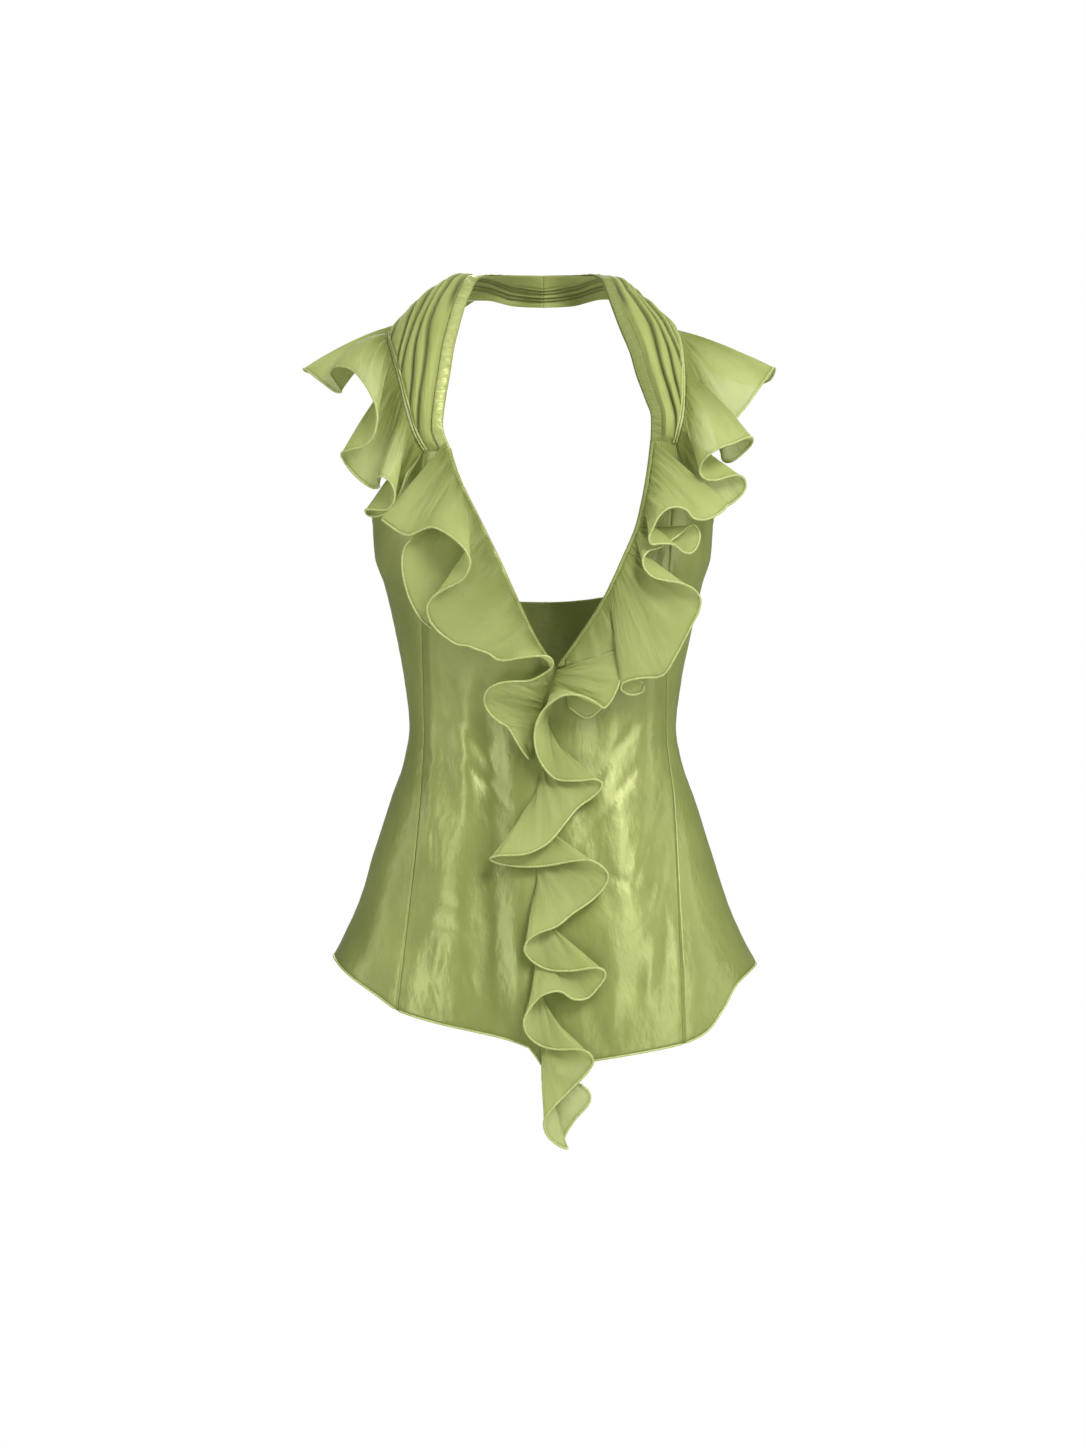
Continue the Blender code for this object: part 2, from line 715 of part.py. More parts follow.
def shoulder_ruffle_point(lines, side, number, v):
    """A point of a ruffle on a yoke's shoulder edge; v runs from its seam to its hem."""
    neck, edge, _ = yoke_frame(lines.seam[number], side)
    outward = (edge - neck) / np.linalg.norm(edge - neck)
    start = edge + outward * SHOULDER_SEAM_CLEAR
    x, z, y = lines.hem[number]
    end = np.array([x, y, z])
    rise = np.array([0.3 * side, -0.4, 0.87]) * lines.lift[number] * 2
    return bend(start, (start + end) / 2 + rise, end, v)


def right_neck_seam(share):
    """x, z and distance out of the right neck ruffle's seam: the V neck and on down from it."""
    top = NECK_RUFFLE_TOP_Z.right
    end_x, end_z = RIGHT_CASCADE_END
    z = top + (end_z - top) * share
    if z > V_POINT_Z:
        return inner_edge(z, -1) - RUFFLE_INSET, z, NECK_RUFFLE_OUT
    below = (V_POINT_Z - z) / (V_POINT_Z - end_z)
    start_x = inner_edge(V_POINT_Z, -1) - RUFFLE_INSET
    return start_x + (end_x - start_x) * below, z, NECK_RUFFLE_OUT


def left_neck_seam(share):
    """x, z and distance out of the left neck ruffle's seam, down the V neck."""
    top = NECK_RUFFLE_TOP_Z.left
    z = top + (V_POINT_Z - top) * share
    return inner_edge(z, 1) + RUFFLE_INSET, z, NECK_RUFFLE_OUT


def front_seam(share):
    """x, z and distance out of the front ruffle's seam, down the centre front."""
    z = FRONT_SEAM_START_Z + (FRONT_SEAM_END_Z - FRONT_SEAM_START_Z) * share
    out = FRONT_RUFFLE_OUT + FRONT_TOP_EXTRA * max(0, 1 - share / FRONT_TOP_SHARE)
    return inner_edge(z, 1) + SEAM_GAP, z, out


def make_ruffle(name, folds, georgette, place, outward):
    """A ruffle from its table of folds; place(lines, number, v) gives its points."""
    lines = ruffle_lines(folds, STEPS_PER_FOLD_ROW, outward)
    columns = len(lines.hem) - 1
    sheet = make_grid(columns, RUFFLE_ROWS, lambda u, v: place(lines, round(u * columns), v))
    return make_piece(name, sheet, georgette, grow=0.0, thickness=RUFFLE_WALL)


def make_ruffles(georgette):
    """The ruffles of the V neck, the centre front and the shoulders."""
    pieces = []
    for name, folds, seam_at in (
        ("neck_ruffle_right", NECK_RUFFLE_RIGHT, right_neck_seam),
        ("neck_ruffle_left", NECK_RUFFLE_LEFT, left_neck_seam),
        ("front_ruffle", FRONT_RUFFLE, front_seam),
    ):
        pieces.append(
            make_ruffle(
                name,
                folds,
                georgette,
                lambda lines, number, v, s=seam_at: front_ruffle_point(lines, s, number, v),
                1,
            )
        )
    for side, folds in ((-1, SHOULDER_RUFFLE_RIGHT), (1, SHOULDER_RUFFLE_LEFT)):
        pieces.append(
            make_ruffle(
                side_name("shoulder_ruffle", side),
                folds,
                georgette,
                lambda lines, number, v, s=side: shoulder_ruffle_point(lines, s, number, v),
                -1,
            )
        )
    return pieces


def main():
    """Builds the halter top."""
    for old in list(bpy.data.objects):
        bpy.data.objects.remove(old)
    collection = bpy.data.collections.new("halter_top")
    bpy.context.scene.collection.children.link(collection)
    hold = bpy.data.objects.new("nape", None)
    hold.location = (0, -NAPE_Y * MM, 0)
    collection.objects.link(hold)

    satin = make_material("satin", SATIN, 0.35, 0.1)
    georgette = make_material("georgette", GEORGETTE, 0.75, 0.3)
    binding = make_material("satin binding", BINDING, 0.4, 0.1)
    pieces = make_panels(satin) + make_ruffles(georgette)
    for side in (-1, 1):
        pieces += [make_yoke(side, georgette), make_band(side, binding)]
    for piece in pieces:
        collection.objects.link(piece)
        piece.parent = hold


main()
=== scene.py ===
"""The looks of a sleeveless ruffled halter top in olive-lime silk, in the form it has when worn.

Lengths are in millimetres and angles in degrees. X runs to the wearer's left, -Y to the front and
+Z up. Inside the tables z is counted from the nape, where the halter is held, and y from the
plane of the side seams. Right and left are the wearer's.
"""

import logging
import math
from dataclasses import dataclass, field
from enum import Enum
from typing import Callable, ClassVar, NamedTuple, Sequence

import bmesh
import bpy
import numpy as np
from mathutils import Matrix, Vector


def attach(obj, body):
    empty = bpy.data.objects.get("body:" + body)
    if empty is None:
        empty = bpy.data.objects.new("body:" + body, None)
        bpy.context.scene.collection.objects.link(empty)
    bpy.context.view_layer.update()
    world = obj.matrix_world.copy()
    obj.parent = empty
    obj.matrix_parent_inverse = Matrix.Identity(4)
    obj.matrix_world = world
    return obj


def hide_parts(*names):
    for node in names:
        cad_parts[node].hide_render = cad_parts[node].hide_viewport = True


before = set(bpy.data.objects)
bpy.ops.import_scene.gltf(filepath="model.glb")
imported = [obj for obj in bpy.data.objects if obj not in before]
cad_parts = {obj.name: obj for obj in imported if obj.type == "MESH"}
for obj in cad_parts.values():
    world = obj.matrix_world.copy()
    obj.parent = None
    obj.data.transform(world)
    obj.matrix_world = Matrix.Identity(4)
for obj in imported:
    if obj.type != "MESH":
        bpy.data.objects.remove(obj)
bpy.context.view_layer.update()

log = logging.getLogger("halter_top")

Array = np.ndarray
Shape = Callable[[Array, Array], Array]
Piece = bpy.types.Object
Tree = bpy.types.NodeTree
Socket = bpy.types.NodeSocket

MM = 0.001
NAPE_Y = 62.0  # how far the nape lies behind the side seams
SATIN_WALL = 0.5  # a panel and its seam allowances
GEORGETTE_WALL = 0.35
V_POINT_Z = -334.0  # bottom of the V neck
BAND_WIDTH = 9.5
CREASE_START = 0.08  # a crease's ends lie this far along a sine's rise and fall
CREASE_RUN = 0.84
CREASE_FULLNESS = 0.7
WAVE_DRIFT = 0.15  # how far a wave leans to and fro, in its own lengths
WAVE_DRIFT_LENGTH = 70.0
WAVE_SLANT = 500.0
HEM_RADIUS = 1.0  # a rolled hem: the cloth turned twice round a thread
PANEL_HEM_RADIUS = 0.9


class Side(Enum):
    """The wearer's side that a piece is on."""

    RIGHT = -1
    LEFT = 1

    @property
    def sign(self) -> int:
        """-1 on the wearer's right, 1 on the left."""
        return self.value

    @property
    def column(self) -> int:
        """Its column in a table of both sides' edges, after the height."""
        return 0 if self is Side.RIGHT else 1

    def named(self, name: str) -> str:
        """A piece's name with its side."""
        return f"{name}_{self.name.lower()}"


class Girth(NamedTuple):
    """A level section of the body."""

    z: float
    half_width: float
    front: float
    back: float


class EdgeRow(NamedTuple):
    """Where an edge of the right and of the left panel lies, seen from the front."""

    z: float
    right: float
    left: float


class HemRow(NamedTuple):
    """A point of the front hem."""

    x: float
    z: float


class YokeRow(NamedTuple):
    """A section across a halter yoke, from its neck edge to its shoulder edge."""

    neck_x: float
    neck_y: float
    neck_z: float
    edge_x: float
    edge_y: float
    edge_z: float
    crown: float  # how far its middle stands out from the straight line


class Fold(NamedTuple):
    """A point of a ruffle's hem and where the cloth above it leaves the seam.

    depth is the distance out from the body's front in a neck or front ruffle, and the hem's y in
    a shoulder ruffle. Where it falls round a fold's end, the next stretch lies behind.
    """

    x: float
    z: float
    depth: float
    seam: float
    lift: float = 0.0  # how far the cloth between seam and hem rises


class Crease(NamedTuple):
    """A soft trough (below zero) or ridge in a panel, from one end to the other."""

    x1: float
    z1: float
    x2: float
    z2: float
    width: float
    height: float


class Wave(NamedTuple):
    """A slow undulation of the satin, over its width and its height."""

    length_x: float
    length_z: float
    phase_x: float
    phase_z: float
    height: float


class Beat(NamedTuple):
    """A wave along a seam whose length drifts to and fro."""

    length: float
    drift: float
    drift_length: float

    def at(self, run: Array) -> Array:
        """The wave, from -1 to 1, at distances along the seam."""
        return np.sin(math.tau * (run / self.length + self.drift * np.sin(run / self.drift_length)))


def table_of(kind: type, *rows: Sequence[float]) -> tuple:
    """A table with named columns.

    Args:
        kind: the named tuple whose columns the numbers fill.
        rows: each row's numbers.

    Returns:
        The named rows.
    """
    return tuple(kind(*row) for row in rows)


GIRTHS = table_of(
    Girth,
    (-680, 190, 124, 118), (-620, 187, 122, 118), (-585, 181, 119, 116), (-565, 171, 117, 114),
    (-531, 156, 112, 108), (-488, 142, 104, 98), (-446, 129, 96, 86), (-412, 117.5, 90, 75),
    (-385, 113, 89, 72), (-345, 117.5, 98, 75), (-300, 126, 112, 81), (-262, 135, 119, 85),
    (-240, 142, 115, 86), (-205, 145, 108, 85), (-140, 150, 106, 80),
)
NECK_EDGE = table_of(
    EdgeRow,
    (-334, 10.5, 10.5), (-312, -4, 27), (-279, -20, 48.5), (-246, -35, 64), (-213, -51, 77.5),
    (-171, -71, 86), (-138, -80, 90),
)
CENTRE_EDGE = table_of(
    EdgeRow,
    (-680, 0, 0), (-607, -4, -4), (-540, -5.5, -5.5), (-444, -4, -4), (-411, -2, -2),
    (-361, 5, 5), (-334, 10.5, 10.5),
)
PRINCESS_SEAM = table_of(
    EdgeRow,
    (-680, -128, 117), (-568, -115, 114), (-446, -103, 110), (-385, -100, 104), (-318, -101, 104),
    (-250, -100, 105), (-150, -98, 110),
)
FRONT_TOP_Z = {Side.RIGHT: -153, Side.LEFT: -146}  # the seam between front panel and halter
UNDERARM_Z = -206
BACK_TOP_DIP = 70  # the back's upper edge at its middle, below the underarm
BACK_HEM_DIP = 42
FRONT_HEM = table_of(
    HemRow,
    (-182, -573), (-164, -589), (-140, -605), (-118, -619), (-98, -627), (-47, -641), (-9, -658),
    (11, -667), (43, -661), (96, -651), (121, -644), (137, -636), (150, -619), (162, -598),
    (182, -583),
)
YOKE_RIGHT = table_of(
    YokeRow,
    (-83, -89, -133, -107, -87, -139, 2), (-81, -81, -112, -114, -79, -116, 4),
    (-77.5, -71, -90, -120, -62, -92, 6), (-74.5, -56, -68, -127, -35, -68, 8),
    (-70.5, -41, -49, -131, -5, -53, 11), (-66, -25, -30, -122, 25, -41, 13),
    (-61, -8, -15, -101, 45, -28, 14), (-55.5, 15, -2, -80, 61, -16, 11),
    (-43, 42, 4, -50, 74, -14, 6), (-22, 58, 5.5, -25, 76, -19, 4),
    (-0.3, 62, 6, -0.3, 68, -21, 2),
)
YOKE_LEFT = table_of(
    YokeRow,
    (89.5, -89, -128, 114, -87, -134, 2), (85, -81, -112, 117, -79, -116, 4),
    (78, -71, -92, 118, -62, -92, 6), (72.5, -56, -71, 117, -35, -68, 8),
    (65, -41, -51, 114, -5, -50, 11), (58, -25, -30, 103, 25, -40, 11),
    (53.5, -8, -15, 90, 45, -32, 10), (49, 15, -2, 80, 61, -21, 9), (40, 42, 4, 53, 74, -13, 6),
    (22, 58, 5.5, 25, 76, -19, 4), (0.3, 62, 6, 0.3, 68, -21, 2),
)
NECK_RUFFLE_RIGHT = table_of(
    Fold,
    (-134, -212, 14, 0.0, 1), (-126, -218, 15, 0.02, 1), (-118, -223.5, 16, 0.045, 2),
    (-110, -226, 18, 0.065, 2), (-104, -224, 20, 0.08, 3), (-97, -221, 23, 0.10, 4),
    (-90, -220, 26, 0.12, 4), (-75, -228, 30, 0.15, 4), (-63, -240, 31, 0.18, 4),
    (-59.5, -249, 29, 0.195, 4), (-61.5, -257, 26, 0.21, 3), (-67, -264, 23, 0.225, 3),
    (-82, -271.5, 19, 0.265, 3), (-90, -277, 17, 0.29, 3), (-95, -285, 15, 0.32, 3),
    (-93.5, -295, 13.5, 0.35, 3), (-87.5, -303.5, 13, 0.385, 4), (-80, -310, 13.5, 0.415, 4),
    (-71, -315.5, 15, 0.45, 4), (-62, -317, 16, 0.485, 5), (-54, -320, 17, 0.515, 5),
    (-44.5, -323.5, 16, 0.55, 5), (-38, -328, 15.5, 0.58, 5), (-31, -329, 16, 0.605, 5),
    (-19, -327, 19, 0.65, 4), (-4, -325.5, 21, 0.69, 2), (4, -326, 20, 0.715, 1),
    (8, -330, 17, 0.73), (7, -335, 14, 0.745), (-1, -341, 11.5, 0.76),
    (-11, -345.5, 11, 0.775, 1), (-28, -346.5, 13, 0.80, 2), (-38, -348.5, 13.5, 0.815, 3),
    (-45.5, -353, 12.5, 0.827, 3), (-48.5, -361, 10.5, 0.845, 2), (-45, -371, 8.5, 0.87, 1),
    (-37, -379, 8, 0.893, 1), (-29, -384, 8, 0.92), (-24, -392, 7.5, 0.95), (-18, -402, 7, 0.98),
    (-11, -411, 5.5, 1.0),
)
NECK_RUFFLE_LEFT = table_of(
    Fold,
    (153.5, -199, 18, 0.0, 6), (148, -205.5, 21, 0.03, 5), (139.5, -211, 24, 0.065, 4),
    (130, -213.5, 25, 0.105, 4), (123, -211.5, 25, 0.135, 3), (118, -205.5, 24.5, 0.155, 3),
    (110.5, -203, 24, 0.18, 3), (102.5, -204.5, 23, 0.205, 3), (95, -211, 22, 0.235, 3),
    (90, -221, 20, 0.265, 3), (87, -229, 18.5, 0.29, 3), (89, -233.5, 16.5, 0.30, 2),
    (98, -233, 15, 0.315, 2), (108, -234, 14, 0.335, 2), (116, -240, 13.5, 0.35, 2),
    (122, -240.5, 13.5, 0.36, 2), (127.5, -234, 13, 0.37, 1), (129, -223, 11.5, 0.38, 1),
    (124, -217, 8.5, 0.385, 1), (110, -227, 7, 0.39, 1), (96, -236, 8, 0.395, 1),
    (87, -239, 10.5, 0.40, 2), (82, -246, 12.5, 0.41, 2), (83.5, -254, 14, 0.42, 3),
    (90, -260.5, 15, 0.435, 3), (101, -263.5, 16, 0.45, 3), (113, -265.5, 16, 0.465, 3),
    (124, -270.5, 15.5, 0.48, 3), (129.5, -278, 14, 0.495, 3), (128.5, -288, 12.5, 0.507, 3),
    (123, -299, 13, 0.52, 3), (109, -326, 15, 0.555, 3), (101, -339, 15.5, 0.58, 2),
    (95, -342.5, 15, 0.60, 2), (84, -343, 14.5, 0.625, 2), (72, -345, 14, 0.65, 2),
    (65.5, -348, 12.5, 0.665, 1), (64.5, -352.5, 10, 0.677), (70, -356.5, 7.5, 0.69),
    (78, -356.5, 5.5, 0.705), (83.5, -352.5, 4.5, 0.715), (81, -346, 4, 0.73),
    (68, -347, 4, 0.75), (56, -359, 4, 0.80), (37, -376, 4, 0.88), (20, -366, 3.2, 0.97, -1.5),
)
UNDER_RUFFLE_RIGHT = table_of(
    Fold,
    (-108, -229, 13, 0.10), (-114, -236, 10, 0.13), (-116, -247, 9, 0.16),
    (-114.5, -262, 8.5, 0.20), (-109.5, -279, 8.5, 0.25), (-101, -294, 9, 0.30),
    (-91, -303, 10, 0.35),
)
FRONT_RUFFLE = table_of(
    Fold,
    (66, -318, 1, 0.0, 1), (67, -332, 5, 0.004, 2), (63, -347, 10.5, 0.01, 3),
    (56, -362, 15, 0.02, 2), (50, -368, 17, 0.03, 2), (44, -364, 20, 0.036, 3),
    (31, -358, 23, 0.042, 4), (16, -358, 24, 0.05, 4), (2, -368, 23, 0.06, 3),
    (-5, -380, 21, 0.07, 3), (-7, -393, 18, 0.082, 3), (-4, -408, 15, 0.094, 3),
    (4, -421, 12, 0.105, 2), (12, -427, 11, 0.115, 1), (30, -428, 12.5, 0.14, 1),
    (43, -427, 14.5, 0.16), (48.5, -430, 13, 0.17), (47.5, -435, 10.5, 0.176),
    (41, -441.5, 9, 0.185, -1), (29, -450, 10.5, 0.20, -2), (18, -463, 13.5, 0.22, -3),
    (4, -479, 17.5, 0.245, -3), (-15, -488, 19.5, 0.27, -2), (-37, -489.5, 17, 0.30, -2),
    (-43.5, -492, 13.5, 0.31, -2), (-38, -495.5, 10, 0.318, -1), (-20, -498.5, 8, 0.337),
    (2, -498, 9.5, 0.358), (24, -494, 12.5, 0.378, 1), (39, -493.5, 14.5, 0.392, 1),
    (49, -499, 14, 0.405), (53.5, -506, 12, 0.415, -1), (51, -514, 9.5, 0.425, -2),
    (42, -524.5, 9, 0.438, -3), (24, -537, 12, 0.465, -1), (11, -547, 15.5, 0.487),
    (-5, -553, 17, 0.512, 2), (-13, -559.5, 15.5, 0.527, 3), (-15, -567, 12.5, 0.539, 3),
    (-9, -575.5, 9.5, 0.55, 2), (4, -582.5, 8.5, 0.566, 1), (23, -583.5, 11, 0.592, 1),
    (41, -581, 14, 0.615, 1), (49, -582.5, 13.5, 0.627), (51, -587.5, 11, 0.636, -1),
    (44, -598.5, 8.5, 0.647, -4), (36, -606, 9, 0.657, -5), (25, -606.5, 12.5, 0.672, -5),
    (14, -600, 16, 0.687, -6), (0, -602.5, 18.5, 0.703, -4), (-10, -612.5, 17, 0.72, 0),
    (-15.5, -624, 14.5, 0.737, 2), (-13, -635, 11, 0.75, 3), (-3, -644, 8.5, 0.768, 2),
    (10, -647.5, 10, 0.79, 2), (29, -647.5, 13.5, 0.835, 2), (37.5, -650.5, 13.5, 0.855),
    (41, -657, 12, 0.868), (37, -665.5, 9.5, 0.88), (22, -681, 10.5, 0.905, 1),
    (9, -694, 13, 0.925, 2), (1, -706, 12.5, 0.945, 3), (3, -717, 10, 0.957, 3),
    (12, -726, 8, 0.97, 2), (20, -729, 6, 0.98, 1), (17, -722, 4, 0.984), (25, -707, 5, 0.988),
    (38, -691, 6, 0.993), (38, -684, 5, 0.996), (30, -676, 4, 1.0),
)
SHOULDER_RUFFLE_LEFT = table_of(
    Fold,
    (124, -204, -84, 0.0), (142, -204, -84, 0.012), (154, -199.5, -82, 0.022),
    (162, -193.5, -80, 0.032), (168, -185.5, -80, 0.045), (167.5, -178.5, -83, 0.056),
    (162, -175, -88, 0.066), (153, -176.5, -92, 0.08), (143, -179.5, -95, 0.10),
    (134, -178.5, -98, 0.12), (129.5, -173, -100, 0.14), (131, -166, -103, 0.16, 1),
    (137, -159, -107, 0.185, 2), (147, -153, -108, 0.215, 3), (158, -149, -103, 0.25, 3),
    (168, -144.5, -95, 0.28, 3), (173.5, -144, -88, 0.297, 3), (173, -149, -80, 0.31, 2),
    (165, -157, -76, 0.33, 2), (156, -163, -74, 0.35, 1), (150, -161, -68, 0.37, 1),
    (150, -147, -64, 0.39, 1), (155, -133, -62, 0.41, 2), (161, -126, -60, 0.425, 2),
    (170, -115, -52, 0.445, 3), (180, -101, -40, 0.47, 3), (190, -87, -22, 0.495, 3),
    (195.5, -79.5, -10, 0.508, 3), (197, -81, 0, 0.52, 3), (193, -88, 12, 0.54, 3),
    (178, -90, 32, 0.58, 3), (154, -81, 50, 0.64, 3), (122, -60, 66, 0.72, 2),
    (101, -42, 69, 0.78),
)
SHOULDER_RUFFLE_RIGHT = table_of(
    Fold,
    (-112, -172, -96, 0.0), (-122, -197, -93, 0.012), (-133, -208, -90, 0.03),
    (-145, -208, -86, 0.05), (-147, -204, -91, 0.056), (-138, -204, -98, 0.07),
    (-128, -204, -104, 0.09, 1), (-122.5, -196, -109, 0.11, 1), (-123, -187, -111, 0.13, 2),
    (-128, -179.5, -110, 0.15, 2), (-134, -176.5, -106, 0.17, 2), (-137.5, -179, -100, 0.185, 2),
    (-136, -185, -92, 0.20, 1), (-141, -185.5, -87, 0.215, 1), (-150, -180, -83, 0.235, 1),
    (-159, -171.5, -80, 0.255, 1), (-166, -161.5, -80, 0.275, 2), (-167, -156.5, -86, 0.287, 2),
    (-160, -154, -92, 0.30, 3), (-149, -151.5, -98, 0.32, 3), (-141, -145, -102, 0.345, 3),
    (-137, -132, -104, 0.37, 3), (-138, -119, -100, 0.395, 4), (-143, -107, -94, 0.42, 5),
    (-150, -96, -84, 0.445, 6), (-158, -87, -74, 0.465, 7), (-168, -82.5, -65, 0.482, 8),
    (-176, -83, -56, 0.493, 8), (-178.5, -87.5, -48, 0.503, 7), (-174, -95, -42, 0.515, 5),
    (-170, -101.5, -36, 0.526, 3), (-175, -101, -29, 0.535, 3), (-187, -92, -20, 0.55, 4),
    (-197, -84, -11, 0.563, 5), (-203, -79.5, -3, 0.573, 5), (-202, -81, 5, 0.583, 6),
    (-185, -82, 26, 0.61, 6), (-159, -72, 50, 0.67, 5), (-125, -52, 67, 0.74, 2),
    (-101, -40, 70, 0.79),
)

PLEATS = (0.0, 12.0, 20.0, 31.0, 39.0, 52.0, 62.0, 74.0)  # their edges, out from the band
PLEAT_HEIGHTS = (3.2, 4.6, 4.0, 5.2, 4.4, 4.0, 3.6)
PLEAT_START = 0.04  # share of the yoke's length over which they rise
WIDEST = 0.45  # share of the yoke's length where it is widest

CREASES_FRONT = table_of(
    Crease,
    (107, -419, 84, -482, 4.5, -1.1), (84, -482, 74, -517, 4, -0.8),
    (76, -474, 64, -519, 4, -0.7), (74, -517, 110, -521, 3.5, -0.6),
    (-101, -394, -93, -414, 3, -1.2), (-91, -461, -90, -502, 3, -1.1),
    (-92, -594, -86, -612, 3, -0.9), (-92, -290, -92, -470, 11, 2.6),
    (-48, -340, -44, -470, 13, -2.4), (40, -345, 44, -420, 12, -2.2),
    (-104, -520, -66, -535, 4, -0.8), (-98, -545, -60, -552, 4, -0.7),
    (-84, -560, -90, -592, 4, 0.9), (-60, -585, -54, -612, 4, 0.8),
    (-104, -600, -98, -622, 4, 0.8), (60, -600, 56, -640, 5, 0.9), (92, -560, 84, -610, 5, 0.9),
    (104, -480, 92, -540, 4, 0.8), (50, -505, 96, -524, 4, -0.7), (-64, -345, -66, -480, 10, 2.2),
    (-78, -500, -74, -620, 24, 3.0), (-40, -400, -44, -640, 14, -3.0),
    (-20, -560, -14, -650, 9, 1.6), (62, -420, 66, -600, 24, 3.6), (86, -310, 84, -430, 11, 2.4),
    (104, -540, 100, -630, 9, -1.6), (36, -590, 58, -655, 12, -1.8),
    (112, -440, 138, -600, 12, 1.6), (-120, -440, -146, -590, 12, 1.6),
    (-40, -420, -72, -372, 5, -1.2), (-30, -450, -80, -395, 4, -0.9),
    (34, -440, 84, -372, 5, -1.2), (30, -480, 84, -410, 4, -0.9),
)
CREASES_BACK = table_of(
    Crease,
    (-98, -330, -96, -540, 13, 1.8), (-60, -370, -64, -520, 10, 1.3),
    (-80, -350, -84, -560, 7, -1.2), (52, -380, 68, -580, 16, 1.8), (88, -330, 86, -430, 8, 1.3),
    (10, -420, -8, -640, 14, 1.5), (-14, -440, -40, -660, 10, -1.2),
    (106, -410, 84, -482, 5, -0.4), (34, -440, 84, -385, 6, -0.8),
    (-30, -450, -80, -395, 6, -0.7),
)
WAVES = table_of(
    Wave,
    (62, 230, 0.1, 0.2, 0.8), (38, 150, 0.45, 0.6, 0.3), (21, 70, 0.7, 0.15, 0.1),
)


class Table:
    """A short table that is read smoothly between its rows, with no swing past a row."""

    def __init__(self, rows: Sequence[Sequence[float]], places: Array | None = None) -> None:
        """Reads the rows.

        Args:
            rows: the table's rows.
            places: where each row is; without them, the first column says it.
        """
        numbers = np.array(rows, float)
        self.places = numbers[:, 0] if places is None else np.asarray(places, float)
        self.values = numbers[:, 1:] if places is None else numbers
        steps = np.diff(self.places)[:, None]
        rises = np.diff(self.values, axis=0) / steps
        product = rises[:-1] * rises[1:]
        total = np.where(product > 0, rises[:-1] + rises[1:], 1)
        inner = np.where(product > 0, 2 * product / total, 0)
        self.slopes = np.vstack([rises[:1], inner, rises[-1:]])

    def at(self, where: Array) -> Array:
        """The table's columns at each place.

        Args:
            where: places, in the units of the table's first column.

        Returns:
            One row of values for each place.
        """
        where = np.clip(np.asarray(where, float), self.places[0], self.places[-1])
        row = np.searchsorted(self.places, where, side="right") - 1
        row = np.clip(row, 0, len(self.places) - 2)
        step = (self.places[row + 1] - self.places[row])[:, None]
        t = (where - self.places[row])[:, None] / step
        return (
            (1 + 2 * t) * (1 - t) ** 2 * self.values[row]
            + t * (1 - t) ** 2 * step * self.slopes[row]
            + t * t * (3 - 2 * t) * self.values[row + 1]
            + t * t * (t - 1) * step * self.slopes[row + 1]
        )


def round_curve(points: Array, steps: int) -> Array:
    """A smooth curve through points (centripetal Catmull-Rom).

    Args:
        points: the points that it runs through.
        steps: how many steps lie between two of them.

    Returns:
        The curve's points.
    """
    padded = np.vstack([2 * points[0] - points[1], points, 2 * points[-1] - points[-2]])
    knots = np.concatenate([[0], np.cumsum(np.linalg.norm(np.diff(padded, axis=0), axis=1) ** 0.5)])
    curve = []
    for row in range(1, len(padded) - 2):
        k0, k1, k2, k3 = knots[row - 1 : row + 3]
        p0, p1, p2, p3 = padded[row - 1 : row + 3]
        k = (k1 + (k2 - k1) * np.arange(steps) / steps)[:, None]
        a1 = (k1 - k) / (k1 - k0) * p0 + (k - k0) / (k1 - k0) * p1
        a2 = (k2 - k) / (k2 - k1) * p1 + (k - k1) / (k2 - k1) * p2
        a3 = (k3 - k) / (k3 - k2) * p2 + (k - k2) / (k3 - k2) * p3
        b1 = (k2 - k) / (k2 - k0) * a1 + (k - k0) / (k2 - k0) * a2
        b2 = (k3 - k) / (k3 - k1) * a2 + (k - k1) / (k3 - k1) * a3
        curve.append((k2 - k) / (k2 - k1) * b1 + (k - k1) / (k2 - k1) * b2)
    return np.vstack([*curve, points[-1:]])


def unit(vectors: Array) -> Array:
    """Vectors of length one in the same directions."""
    return vectors / np.maximum(np.linalg.norm(vectors, axis=-1, keepdims=True), 1e-9)


def smooth(share: Array) -> Array:
    """An even rise from 0 to 1, level at both ends."""
    share = np.clip(share, 0, 1)
    return share * share * (3 - 2 * share)


